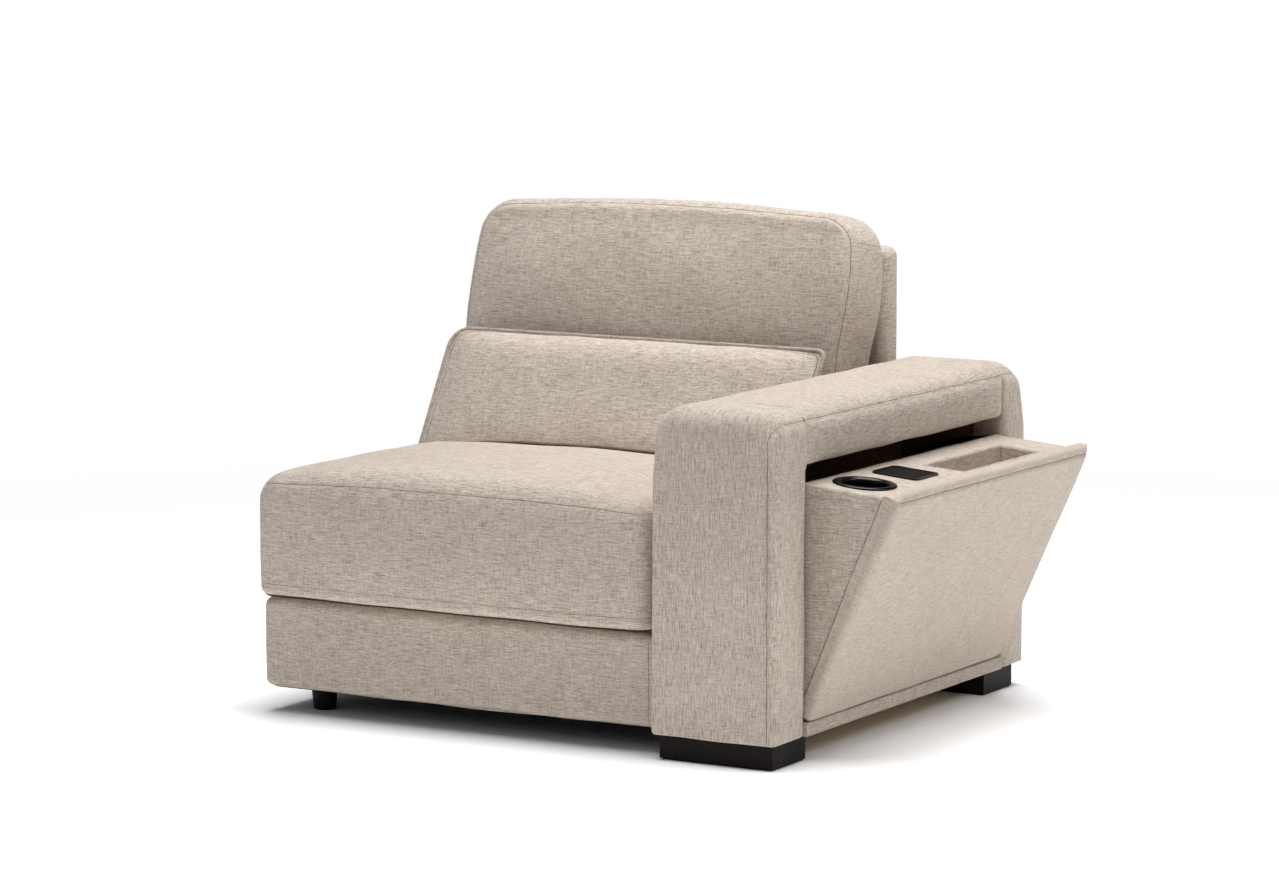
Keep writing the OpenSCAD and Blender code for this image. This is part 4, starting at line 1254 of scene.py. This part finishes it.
@dataclass
class ArmUnit:
    """Padded arm: front and rear posts, top roll, inner side, rail and cavity lining."""

    shop: Workshop
    low_x: float = 815.3
    high_x: float = 1058.3
    low_z: float = 43.3
    top_z: float = 610.0
    front_y: float = 0.0
    rear_y: float = 975.0
    opening: tuple[float, float] = (114.0, 876.0)
    gap: float = 0.3
    roll_low: float = 510.9
    top_corner: float = 45.0
    front_edge: float = 45.0
    rear_edge: float = 76.0
    droop: float = 4.0
    seam_z: float = 588.0
    seam_in: float = 9.0
    upright_in: float = 17.0
    twin_rows: tuple[float, float] = (-3.6, 3.6)

    def build(self) -> None:
        """Makes every cover of the arm."""
        self.post("arm_front_post_cover", "arm_front_cover", True)
        self.post("arm_rear_post_cover", "arm_rear_cover", False)
        self.roll()
        self.sides()
        self.lining()

    @property
    def half_x(self) -> float:
        """Half the arm's width."""
        return (self.high_x - self.low_x) / 2

    @property
    def mid_x(self) -> float:
        """Middle of the arm's width."""
        return (self.high_x + self.low_x) / 2

    def section(self, low: float, corners: tuple[float, float], count: LoopCount) -> np.ndarray:
        """Loop round the arm's section in z and x, with the two low corners' radii given."""
        half = np.array([[(self.top_z - low) / 2, self.half_x]])
        radii = np.array([[self.top_corner, *corners, self.top_corner]])
        return rounded_loops(half, radii, count)[0]

    def padded(self, points: np.ndarray) -> Shell:
        """Shell of rings, its top lowered by the fourth power of the reach across, and uneven."""
        reach = np.abs(points[..., 0] - self.mid_x) / (self.high_x - self.mid_x)
        fall = self.droop * portion(points[..., 2], self.top_z - 90, self.top_z - 30) * reach**4
        return roughened(stacked(points - coords(0.0, 0.0, fall)), 1.0, 150.0, 61)

    def post(self, name: str, node: str, front: bool) -> None:
        """Cover of one post: loops round the arm's section, drawn in toward the post's outer face.

        A loop is a rounded rectangle. Toward the face it shrinks by a quarter circle of the edge's
        radius, and the face itself is filled by loops that close on an upright middle line. Toward
        the opening it rolls in by the hem's radius.

        Args:
            name: Name of the piece.
            node: CAD node replaced.
            front: Whether this is the front post.
        """
        half_z, half_x = (self.top_z - self.low_z) / 2, self.half_x
        mid_z = (self.top_z + self.low_z) / 2
        loop = self.section(self.low_z, (8.0, 8.0), LoopCount(10, 84, 34))
        z, x = loop[:, 0], loop[:, 1]
        around = np.roll(loop, -1, 0) - np.roll(loop, 1, 0)
        normal = unit(coords(around[:, 1], -around[:, 0]))
        levels = [-half_z, -half_z + 40, half_z - 120, half_z]
        inner_radii, outer_radii = [5, 8, 10, 36], [21, 22, 24, 45 if front else 60]
        foot_radius, top_radius = 5.0, self.front_edge if front else self.rear_edge
        side = np.where(
            x < 0, np.interp(z, levels, inner_radii), np.interp(z, levels, outer_radii)
        )
        ends = np.where(z > 0, top_radius, foot_radius)
        deep = side * normal[:, 1] ** 2 + ends * normal[:, 0] ** 2
        shrink_z, shrink_x = ends / half_z, side / half_x
        length = self.opening[0] - self.front_y if front else self.rear_y - self.opening[1]

        start = coords(z * (1 - shrink_z), x * (1 - shrink_x))
        spine_in = 0.8 * half_x
        low, high = start[:, 0].min() + spine_in, start[:, 0].max() - spine_in
        spine = coords(np.clip(start[:, 0], low, high), 0.0)
        s = np.concatenate([np.linspace(0.985, 0.3, 14), np.linspace(0.28, 0.02, 14)])
        flat = start * (1 - s[:, None, None]) + spine * s[:, None, None]
        face = coords(flat[..., 0], flat[..., 1], 0.0)

        a = np.linspace(0, QUARTER, 12)[:, None]
        e = 1 - np.sin(a)
        edge = coords(z * (1 - e * shrink_z), x * (1 - e * shrink_x), deep * (1 - np.cos(a)))

        hem = np.interp(z + mid_z, [505, 518], [18.0, 0.4])
        beside_roll = np.interp(z + mid_z, [566, 592], [9.0, 0.0])
        hem = np.maximum(hem, portion(x / half_x, 0.7, 0.9) * beside_roll)
        share = np.linspace(0, 1, 9)[1:, None]
        straight = coords(z, x, deep + (length - hem - deep) * share)
        b = np.linspace(0, QUARTER, 5)[1:, None]
        e = 1 - np.cos(b)
        tuck = coords(
            z - normal[:, 0] * hem * e, x - normal[:, 1] * hem * e, length - hem * (1 - np.sin(b))
        )
        stack = np.concatenate([face, edge, straight, tuck])
        y = self.front_y + stack[..., 2] if front else self.rear_y - stack[..., 2]
        points = coords(stack[..., 1] + self.mid_x, y, stack[..., 0] + mid_z)
        shell = self.padded(points if front else points[::-1])
        piece = Piece(name, (node,), fill=0.4, grain=Grain.UPRIGHT)
        self.shop.sew(piece, shell, [self.post_seam(front)])

    def post_seam(self, front: bool) -> Seam:
        """Double-stitched upright seam near the outer edge, running over the top to the roll's.

        Args:
            front: Whether this is the front post.

        Returns:
            The seam.
        """
        foot, bend_foot = 50, 560
        face, reach = self.front_y, self.front_edge
        if not front:
            face, reach = self.rear_y, -self.rear_edge
        x, seam_x = self.high_x - self.upright_in, self.high_x - self.seam_in
        upright = coords(x, face, np.linspace(foot, bend_foot, 120))
        a = np.linspace(0, QUARTER, 24)
        bend = coords(
            x + (seam_x - x) * np.sin(a) ** 1.5,
            face + reach * 0.95 * (1 - np.cos(a)),
            bend_foot + (self.seam_z - bend_foot) * np.sin(a),
        )
        end = self.opening[0] if front else self.opening[1]
        top = coords(seam_x, np.linspace(bend[-1, 1], end, 20), self.seam_z)
        return Seam(np.concatenate([upright, bend[1:], top[1:]]), 1.6, 4.0, 2.0, self.twin_rows)

    def roll(self) -> None:
        """Padded roll along the arm's top, flush with the posts and drawn in at its ends."""
        mid_z = (self.top_z + self.roll_low) / 2
        loop = self.section(self.roll_low, (12.0, 6.0), LoopCount(10, 8, 34))
        y0, y1 = self.opening
        y = np.unique(np.concatenate([np.linspace(y0, y1, 110), y0 + np.arange(0, 12, 2.0)]))
        y = np.clip(y, y0 - 0.1, y1 + 0.1)
        points = coords(loop[:, 1] + self.mid_x, y[:, None], loop[:, 0] + mid_z)
        draw, fade = 7.0, 16.0
        near = np.exp(-(y - y[0]) / fade) + np.exp(-(y[-1] - y) / fade)
        outer = portion(points[..., 0], self.mid_x, self.high_x) ** 4
        points[..., 0] -= draw * near[:, None] * portion(points[..., 2], 592.0, 570.0) * outer
        path = coords(self.high_x - self.seam_in, np.linspace(y0, y1, 200), self.seam_z)
        # The joint line marks where the roll meets the front post on the outer side, and paints the
        # shade there.
        joint = coords(self.high_x - draw, y0 + 1.2, np.linspace(519.0, 584.0, 40))
        seams = [Seam(path, 1.8, 4.5, 2.2, self.twin_rows), Seam(joint, 0.6, 4.0, 1.6)]
        piece = Piece("arm_top_roll", ("arm_top_pad",), fill=0.7)
        self.shop.sew(piece, self.padded(points), seams)

    def sides(self) -> None:
        """Inner side, and the strip under the console's hinge."""
        y0, y1 = self.opening[0] + self.gap, self.opening[1] - self.gap
        inner = Slab((self.low_x, y0, 43.0), (829.0, y1, self.roll_low), "-x", 4, 4)
        self.shop.make(Piece("arm_inner_side_cover", ("arm_inner_cover",), fill=0.3), inner.shell())
        rail = Slab((1049.8, y0, 43.0), (1059.0, y1, 67.5), "+x", 3, 4, 1.0, unevenness=0.3)
        self.shop.make(Piece("arm_rail_strip", ("arm_rail_cover",), fill=0.3), rail.shell())

    def lining(self) -> None:
        """Dark cloth round three walls of the cavity."""
        y0, y1 = self.opening[0] + self.gap, self.opening[1] - self.gap
        mouth, wall, thick = 996.0, 847.3, 1.1
        ends = [np.linspace(0, 1, 20)[:-1], np.linspace(1, 2, 90)[:-1], np.linspace(2, 3, 20)]
        share = np.concatenate(ends)[:, None]
        z = np.linspace(62.3, 511.7, 40)
        face, back = (
            coords(
                np.interp(share, range(4), [mouth, wall + off, wall + off, mouth]),
                np.interp(share, range(4), [y0 + off, y0 + off, y1 - off, y1 - off]),
                z,
            )
            for off in (thick, 0.0)
        )
        rings = np.concatenate([face, back[:, ::-1]], axis=1)
        piece = Piece(
            "cavity_lining_cloth", ("cavity_lining",), material=self.shop.finishes.lining,
            slot=Slot.LINING,
        )
        self.shop.make(piece, roughened(stacked(rings), 0.25, 90.0, 83))


@dataclass
class ConsoleUnit:
    """Tilt-out box: outer panel, end covers, tray cloth, pocket, cup holder and inner lining."""

    shop: Workshop
    y0: float = 120.0
    length: float = 750.0
    foot: float = 4.8
    top: float = 443.4
    face: float = 12.0
    inside: float = -2.5
    proud: float = 1.9
    tray_u: float = -172.5
    tray_w: float = 375.77
    slope: float = 19.0
    tray_length: float = 160.4
    pocket: tuple[float, float, float, float] = (60.0, 138.0, 341.25, 653.25)
    pocket_depth: float = 70.0
    lip: float = 8.0
    cup: tuple[float, float] = (80.2, 82.5)
    charger: tuple[float, float] = (80.2, 234.75)

    def build(self) -> None:
        """Makes every cover and fitting of the console."""
        self.panel()
        self.ends()
        self.tray()
        self.pocket_cloth()
        self.cup_holder()
        self.inner()

    def on_tray(self, points: np.ndarray) -> np.ndarray:
        """Tray frame (s up the slope, y along, n square out) to the closed console frame."""
        u, w = spun(points[..., 0], points[..., 2], self.slope)
        return coords(self.tray_u + u, self.y0 + points[..., 1], self.tray_w + w)

    def profile(self) -> np.ndarray:
        """Section of the padded panel: up the face, over the roll, down inside.

        Returns:
            Points in u and w.
        """
        corner, roll_u, roll_w, back_u, back_w = 9.0, 12.5, 21.0, 24.0, 18.0
        a = np.linspace(-QUARTER, 0, 7)
        low = coords(
            self.face - corner + corner * np.cos(a), self.foot + corner + corner * np.sin(a)
        )
        w = np.linspace(self.foot + corner, self.top - roll_w, 110)[1:-1]
        crest = self.face - roll_u
        b = np.linspace(0, QUARTER, 18)
        rise = coords(roll_u * np.cos(b), roll_w * np.sin(b)) + [crest, self.top - roll_w]
        c = np.linspace(0, QUARTER, 14)[1:]
        fall = coords(-back_u * np.sin(c), back_w * np.cos(c)) + [crest, self.top - back_w]
        shelf = np.array([[-23.5, 426.6], [-15.2, 429.0], [self.inside, 430.4]])
        down = coords(self.inside, np.linspace(424, self.foot, 30))
        return np.concatenate([low, coords(self.face, w), rise, fall, shelf, down])

    def lap(self, w: np.ndarray) -> np.ndarray:
        """Distance u at which the panel's cloth ends on the box's end, at a height w."""
        return -13.0 - 10.0 * w / 427.0

    def panel_rings(self) -> np.ndarray:
        """Rings of the panel along y, drawn in at its ends, bowed, and rounded at its foot.

        The end edges follow an ellipse, the top droops at the front and lifts at the rear, and the
        face bows by a half sine of the height.

        Returns:
            Array of rings, points and u, y, w.
        """
        su, sw = self.profile().T
        edge, proud = 14.0, self.proud
        ear_rise, ear_reach, droop_depth, droop_reach = 2.4, 14.0, 11.0, 24.0
        front_round, rear_round, bow_rise = 14.0, 34.0, 3.0
        fold_u, fold_w = -23.6, 426.4
        span = self.length + 2 * proud
        places = edge * (1 - np.cos(np.linspace(0, 1, 10) * QUARTER))
        step = [proud + 0.05, proud + 0.4]
        near = np.concatenate([places[places < proud], step, places[places > proud + 0.5]])
        y = np.concatenate([near, np.linspace(edge, span - edge, 110)[1:-1], (span - near)[::-1]])
        y = y[:, None]
        from_end = np.minimum(y, span - y)
        e = 1 - np.sqrt(np.clip(1 - (1 - portion(from_end, 0, edge)) ** 2, 0, 1))
        u = su - e * portion(su, self.inside, self.face) * edge
        ear = ear_rise * portion(su, -1.0, 3.0) * np.exp(-(((y - span) / ear_reach) ** 2))
        droop = droop_depth * np.exp(-((y / droop_reach) ** 2)) - ear
        w = sw - droop * portion(sw, 427.0, 444.0)
        at_end = from_end < proud + 0.2
        behind = su < self.inside + 0.1
        u = np.where(at_end & behind & (sw < 425.0), self.lap(sw), u)
        fold = at_end & behind & (sw > 428.0)
        u, w = np.where(fold, fold_u, u), np.where(fold, fold_w, w)
        round_end = np.where(y > span / 2, rear_round, front_round)
        into = round_end - np.clip(from_end, 0, round_end)
        curl = round_end - np.sqrt(np.clip(round_end**2 - into**2, 0, None))
        w = w + curl * portion(sw, 60.0, 5.0) * 0.9
        bow = bow_rise * np.sin(np.pi * portion(w, 10.0, 410.0))
        bow = bow * (1 - np.abs(2 * y / span - 1) ** 4)
        return coords(u + bow * (su > self.face - 1.0), y + self.y0 - proud, w)

    def panel(self) -> None:
        """Padded outer panel with a roll along its top and a seam under it.

        Its ends stand proud of the box, lap round its edge, and close on the middle of the section.
        """
        rings = self.panel_rings()
        su, sw = self.profile().T
        high = portion(sw, 405.0, 420.0) * portion(su, 3.0, -23.5)
        mid_u, lowest, highest = -4.0 - 6.0 * high, self.foot + 7.0, 428.0 + 5.0 * high
        share = np.array([0.97, 0.75, 0.5, 0.25, 0.08])[:, None, None]
        front, rear = (
            ring * (1 - share)
            + share * coords(mid_u, ring[:, 1], np.clip(ring[:, 2], lowest, highest))
            for ring in (rings[0], rings[-1])
        )
        points = np.concatenate([front, rings, rear[::-1]])
        shell = roughened(stacked(points[:, ::-1]), 0.9, 150.0, 91)
        start, end = rings[0, 0, 1], rings[-1, 0, 1]
        path = coords(self.face - 2.0, np.linspace(start + 8, end - 5, 200), self.top - 10.7)
        run = np.linspace(8.0, self.top - 24.0, 120)
        # The lap line, with no valley, marks the lapped cloth's edge on the box's end and paints
        # the shade under it.
        lap_line = coords(self.lap(run) - 0.2, start, run)
        seams = [Seam(path, 1.6, 4.0, 1.9, (-3.0,), radius=0.35), Seam(lap_line, 0.0, line=1.7)]
        piece = Piece(
            "console_panel_cover", ("console_panel",), Body.CONSOLE, 0.6,
            self.shop.finishes.soft_cloth,
        )
        self.shop.sew(piece, shell, seams)

    def plate(self, outline: np.ndarray, y: float, thick: float, front: bool) -> Shell:
        """Flat cover of a convex outline: loops closing on its middle, with a rounded edge.

        Args:
            outline: Corners in u and w.
            y: Outer face.
            thick: Thickness.
            front: Whether the cover looks to the front.

        Returns:
            The shell.
        """
        radius = 1.4
        line = resampled(coords(*closed(outline).T, 0.0), 7.0)[:-1, :2]
        centre = line.mean(0)
        arms = line - centre
        reach = np.linalg.norm(arms, axis=1, keepdims=True)
        share = np.linspace(0.03, 1, 16)[:-1, None, None]
        a = np.linspace(0, QUARTER, 4)[:, None, None]
        face = arms * (1 - radius / reach) * share + centre
        edge = centre + arms * (1 - radius * (1 - np.sin(a)) / reach)
        stack = np.concatenate([face, edge, line[None]])
        turned_in = radius * (1 - np.cos(a[..., 0]))
        depth = np.concatenate([np.zeros((len(share), 1)), turned_in, [[thick]]])
        away = depth if front else -depth
        points = coords(stack[..., 0], y + away, stack[..., 1])
        return stacked(points if front else points[::-1])

    def ends(self) -> None:
        """Thin cloth over the two ends of the box."""
        slope = math.radians(self.slope)
        high_u, low_u, low_w = -2.8, -16.3, 37.0
        board, overlap = 17.5, 2.0
        under = self.tray_w - board / math.cos(slope) + overlap
        rise = (high_u - self.tray_u) * math.tan(slope)
        corners = [
            (high_u, low_w), (low_u, low_w), (self.tray_u + 2 * overlap, under),
            (high_u, under + rise),
        ]
        for end, y in (("front", self.y0), ("rear", self.y0 + self.length)):
            shell = self.plate(np.array(corners), y, 2.7, end == "front")
            shell = roughened(shell, 0.5, 120.0, 97)
            shell.pattern = opened(shell.points)
            name, node = f"console_{end}_end_cover", f"console_{end}_cover"
            self.shop.make(Piece(name, (node,), Body.CONSOLE), shell)

    def tray(self) -> None:
        """Cloth over the tray: a sheet laid over a rounded box, with openings under the fittings.

        A point past the box's edge follows a quarter circle and then hangs straight down.
        """
        radius, drop, step, lip = 5.0, 17.0, 3.0, self.lip
        cup_radius, pad_half, upper = 50, 42, -1
        over = radius * QUARTER + drop - radius
        s0, s1, y0, y1 = self.pocket
        far_s, far_y = self.tray_length + 4.0, self.length - radius
        s = marked_steps([radius - over, radius, s0 - lip, s1 + lip, far_s], step)
        y = marked_steps([radius - over, radius, y0 - lip, y1 + lip, far_y, far_y + over], step)
        grid_s, grid_y = np.meshgrid(s, y, indexing="ij")
        core_s = np.maximum(grid_s, radius)
        core_y = np.clip(grid_y, radius, far_y)
        off_s, off_y = grid_s - core_s, grid_y - core_y
        reach = np.minimum(np.hypot(off_s, off_y), over)
        way = np.maximum(np.hypot(off_s, off_y), TINY)
        turn = np.minimum(reach / radius, QUARTER)
        out = radius * np.sin(turn)
        down = radius * (1 - np.cos(turn)) + np.maximum(reach - radius * QUARTER, 0)
        shell = sheet_grid(coords(core_s + off_s / way * out, core_y + off_y / way * out, -down))
        s, y, n = shell.points[shell.quads].mean(1).T
        cup = np.hypot(s - self.cup[0], y - self.cup[1]) < cup_radius
        pad = np.maximum(np.abs(s - self.charger[0]), np.abs(y - self.charger[1])) < pad_half
        pocket = (s > s0 - lip) & (s < s1 + lip) & (y > y0 - lip) & (y < y1 + lip)
        shell.quads = shell.quads[~((n > upper) & (cup | pad | pocket))]
        shell.pattern = shell.points
        shell.points = self.on_tray(shell.points)
        piece = Piece("console_tray_cloth", ("console_tray_cover",), Body.CONSOLE, 0.3)
        self.shop.make(piece, roughened(shell, 0.5, 110.0, 101))

    def pocket_cloth(self) -> None:
        """Pocket: cloth rolled over the tray's edge, down the walls and across the floor."""
        s0, s1, y0, y1 = self.pocket
        radius, corner, crest, inset, taper, depth = 7.0, 4.0, 1.6, 1.0, 2.0, self.pocket_depth
        half = np.array([(s1 - s0) / 2, (y1 - y0) / 2])
        a = np.linspace(0, QUARTER, 10)
        down = np.linspace(0, 1, 20)[1:]
        floor = np.array([0.9, 0.6, 0.3, 0.06])
        narrow = inset + taper
        grow = [
            [self.lip, self.lip * 0.9],
            radius * (1 - np.sin(a)) - inset,
            -inset - taper * down,
            -narrow - (half[0] - narrow) * (1 - floor),
        ]
        corners = [[0.6, 3.0], np.full(len(a) + len(down), corner), corner * floor + 0.3]
        height = [
            [0.05, 0.6],
            crest - radius * (1 - np.cos(a)),
            crest - radius - (depth + crest - radius - 3.0) * down,
            np.full(len(floor), 0.5 - depth),
        ]
        halves = half + np.concatenate(grow)[:, None]
        rings = rounded_loops(halves, np.concatenate(corners), LoopCount(5, 16, 60))
        rings = rings + np.array([(s0 + s1) / 2, (y0 + y1) / 2])
        points = coords(rings[..., 0], rings[..., 1], np.concatenate(height)[:, None])
        shell = stacked(points, False, True)
        shell.pattern = shell.points
        shell.points = self.on_tray(shell.points)
        # Dark lines down three inner corners: corner seams, with painted shade in the corners.
        away = 2.6
        depths = np.linspace(-6.0, -depth + 6.0, 40)
        seams = [
            Seam(self.on_tray(coords(s, y, depths)), 0.0, line=1.5)
            for s, y in ((s0 + away, y1 - away), (s1 - away, y1 - away), (s0 + away, y0 + away))
        ]
        self.shop.sew(Piece("pocket_cloth", ("pocket_liner",), Body.CONSOLE), shell, seams)

    def cup_holder(self) -> None:
        """Cup holder: a turned section with a rolled rim, a tapering well and a flat floor."""
        rim, bore, bottom, depth, wall, sides = 56.0, 41.0, 38.0, 72.0, 2.5, 96
        section = [
            (bottom * 0.5, -depth - wall), (bottom + wall - 3, -depth - wall),
            (bottom + wall - 0.5, -depth - wall + 0.8), (bottom + wall, -depth - wall + 3),
            (bore + wall, -2.0), (bore + wall + 0.6, -0.2), (rim - 1.2, 0.1), (rim - 0.3, 0.5),
            (rim, 1.4), (rim - 0.3, 2.4), (rim - 1.4, 3.4), (rim - 3.4, 4.2), (rim - 6.5, 4.5),
            (rim - 9.5, 4.1), (bore + 3.0, 2.6), (bore + 1.0, 1.0), (bore + 0.1, -1.2),
            (bore - 0.2, -4.0), ((bore + bottom) / 2, -depth / 2), (bottom + 0.1, -depth + 6),
            (bottom - 0.6, -depth + 2.6), (bottom - 2.4, -depth + 0.8),
            (bottom - 5.0, -depth + 0.1), (bottom * 0.6, -depth), (4.0, -depth),
        ]
        radius, height = np.array(section).T[..., None]
        a = 2 * np.pi * np.arange(sides) / sides
        rings = coords(self.cup[0] + radius * np.cos(a), self.cup[1] + radius * np.sin(a), height)
        shell = stacked(rings)
        shell.points = self.on_tray(shell.points)
        piece = Piece(
            "cup_holder_cup", ("cup_holder",), Body.CONSOLE, material=self.shop.finishes.gloss,
            slot=Slot.GLOSS,
        )
        self.shop.make(piece, shell)

    def inner(self) -> None:
        """Dark cloth on the side of the box that faces the cavity."""
        foot = np.array([-16.3, 14.0])
        head = np.array([self.tray_u, self.tray_w])
        up = unit(head - foot)
        low, high = foot + up * 22.0, foot + up * 381.0
        share = np.linspace(0, 1, 40)[:, None]
        u, w = (low * (1 - share) + high * share).T
        y = np.linspace(135.0, 855.0, 80)[:, None]
        face, back = (coords(u - up[1] * off, y, w + up[0] * off) for off in (0.4, -0.8))
        piece = Piece(
            "console_inner_cloth", ("console_inner_cover",), Body.CONSOLE,
            material=self.shop.finishes.lining, slot=Slot.LINING,
        )
        self.shop.make(piece, stacked(np.concatenate([face, back[:, ::-1]], axis=1)))


def marked_steps(marks: Sequence[float], step: float) -> np.ndarray:
    """Even steps between rising marks, with every mark among them.

    Args:
        marks: Values that must be kept.
        step: Largest step.

    Returns:
        The rising steps.
    """
    parts = [
        np.linspace(a, b, max(2, int((b - a) / step) + 1))[:-1] for a, b in zip(marks, marks[1:])
    ]
    return np.concatenate([*parts, marks[-1:]])


@dataclass
class FrameUnit:
    """Timber, springs, bolts, hinge, tracks and feet, which keep their CAD solids."""

    shop: Workshop

    def build(self) -> None:
        """Gives each solid that stays its finish."""
        f = self.shop.finishes
        dress = self.shop.dress
        dress(f.timber_x, "seat_front_rail", "seat_rear_rail", "back_frame")
        dress(f.timber_y, "seat_left_rail", "seat_right_rail", "arm_top_beam", "arm_floor_board")
        dress(f.timber_y, "console_outer_board", "console_inner_board", "console_tray_board")
        dress(f.timber_z, "arm_front_post", "arm_rear_post", "arm_inner_board")
        dress(f.timber_z, "console_front_cheek", "console_rear_cheek")
        dress(f.espresso, "arm_front_foot", "arm_rear_foot")
        dress(f.plastic, "round_front_foot", "round_rear_foot", "power_inlet", "charger_pad")
        dress(f.gloss, "charger_bezel")
        dress(f.zinc, "seat_springs", "spring_clips", "foot_studs", "arm_bolts", "back_bolts")
        dress(f.zinc, "joining_brackets", "hinge_fixed_leaf", "hinge_moving_leaf", "hinge_pin")
        dress(f.zinc, "front_stay_pin", "rear_stay_pin")
        dress(f.black_steel, "front_stay_track", "rear_stay_track")
        dress(f.webbing, "back_webbing")


# Studio

WHITE = (1.0, 1.0, 1.0, 1.0)


@dataclass
class Studio:
    """Pale floor, white surroundings, soft lights and the camera of the photograph."""

    target: tuple[float, float, float] = (525.4, 462.0, 478.5)
    azimuth: float = 30.168
    elevation: float = 7.483
    distance: float = 8.623
    lens: float = 133.9
    sensor: float = 36.0
    ambient: float = 0.1

    def build(self) -> None:
        """Sets the camera, floor, world and lights."""
        self.camera()
        self.floor()
        self.world()
        self.light("overhead", (0.2, 0.1, 4.2), (0.0, 0.0, 0.3), 3.2, 212.0)
        self.light("left_front", (-2.2, -4.6, 2.6), (0.0, 0.0, 0.3), 2.4, 12.0)
        self.light("right", (3.6, 0.3, 3.4), (0.1, 0.3, 0.6), 1.8, 34.0)
        bpy.context.scene.view_settings.view_transform = "Standard"

    def place(self, name: str, data: bpy.types.ID, at: Vector, target: Vector) -> bpy.types.Object:
        """Puts a light or camera in the room, looking at a point.

        Args:
            name: Name of the object.
            data: Light or camera.
            at: Its place in metres.
            target: Point that it looks at.

        Returns:
            The object.
        """
        thing = bpy.data.objects.new(name, data)
        thing.location = at
        thing.rotation_euler = (target - at).to_track_quat("-Z", "Y").to_euler()
        bpy.context.scene.collection.objects.link(thing)
        return thing

    def camera(self) -> None:
        """Camera at the photograph's angle."""
        data = bpy.data.cameras.new("view")
        data.lens = self.lens
        data.sensor_width = self.sensor
        data.clip_end = 100.0
        a, e = math.radians(self.azimuth), math.radians(self.elevation)
        back = Vector((math.sin(a) * math.cos(e), -math.cos(a) * math.cos(e), math.sin(e)))
        target = Vector(to_room(np.array(self.target)))
        made = self.place("view", data, target + back * self.distance, target)
        bpy.context.scene.camera = made

    def floor(self) -> None:
        """Wide disc whose tone fades to the surroundings' white away from the part."""
        radii, sides = np.array([30.0, 12.0, 6.0, 3.0, 1.5, 0.5])[:, None], 96
        a = 2 * np.pi * np.arange(sides) / sides
        shell = stacked(coords(radii * np.cos(a), radii * np.sin(a), 0.0), False, True)
        mesh = bpy.data.meshes.new("floor")
        mesh.from_pydata(shell.points.tolist(), [], shell.faces())
        thing = bpy.data.objects.new("floor", mesh)
        bpy.context.scene.collection.objects.link(thing)
        g = Graph(bpy.data.materials.new("pale_floor"))
        x, y, _ = g.object_axes()
        reach = (x * x + y * y).power(0.5)
        fade = ((reach - 1.2) / 2.2).larger(0.0).smaller(1.0)
        rays = g.node("ShaderNodeLightPath").outputs
        seen = Value(g, rays["Is Camera Ray"]).larger(Value(g, rays["Is Glossy Ray"]))
        lit_tone, seen_tone = (1.4, 1.4, 1.4, 1.0), (1.34, 1.37, 1.41, 1.0)
        sockets = {6: lit_tone, 7: seen_tone, 0: seen}
        tone = g.node("ShaderNodeMix", {"data_type": "RGBA"}, sockets)
        bare = g.node("ShaderNodeBsdfDiffuse", None, {"Color": tone.outputs[2]})
        lit = g.node("ShaderNodeEmission", None, {"Color": WHITE, "Strength": 1.0})
        mix = g.node("ShaderNodeMixShader", None, [fade * seen, bare.outputs[0], lit.outputs[0]])
        g.node("ShaderNodeOutputMaterial", None, {"Surface": mix.outputs[0]})
        mesh.materials.append(g.owner)

    def world(self) -> None:
        """White surroundings for the camera, softer grey light for the part."""
        world = bpy.data.worlds.new("studio")
        bpy.context.scene.world = world
        g = Graph(world)
        path = g.node("ShaderNodeLightPath")
        soft, white = (
            g.node("ShaderNodeBackground", None, [WHITE, strength]).outputs[0]
            for strength in (self.ambient, 1.0)
        )
        mix = g.node("ShaderNodeMixShader", None, [path.outputs["Is Camera Ray"], soft, white])
        g.node("ShaderNodeOutputWorld", None, [mix.outputs[0]])

    def light(
        self, name: str, at: Sequence[float], target: Sequence[float], size: float, power: float
    ) -> None:
        """Adds a square soft light.

        Args:
            name: Name of the light.
            at: Its place in metres.
            target: Point that it looks at.
            size: Side of the square in metres.
            power: Power in watts.
        """
        data = bpy.data.lights.new(name, "AREA")
        data.size = size
        data.energy = power
        data.color = WHITE[:3]
        self.place(name, data, Vector(at), Vector(target))


def main() -> None:
    """Builds the part's looks, one sub-assembly at a time, and the studio."""
    logging.basicConfig(level=logging.INFO, format="%(name)s: %(message)s")
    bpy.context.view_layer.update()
    shop = Workshop(Finishes())
    for assembly in (SeatUnit, BackUnit, ArmUnit, ConsoleUnit, FrameUnit):
        assembly(shop).build()
    Studio().build()


if __name__ == "__main__":
    main()
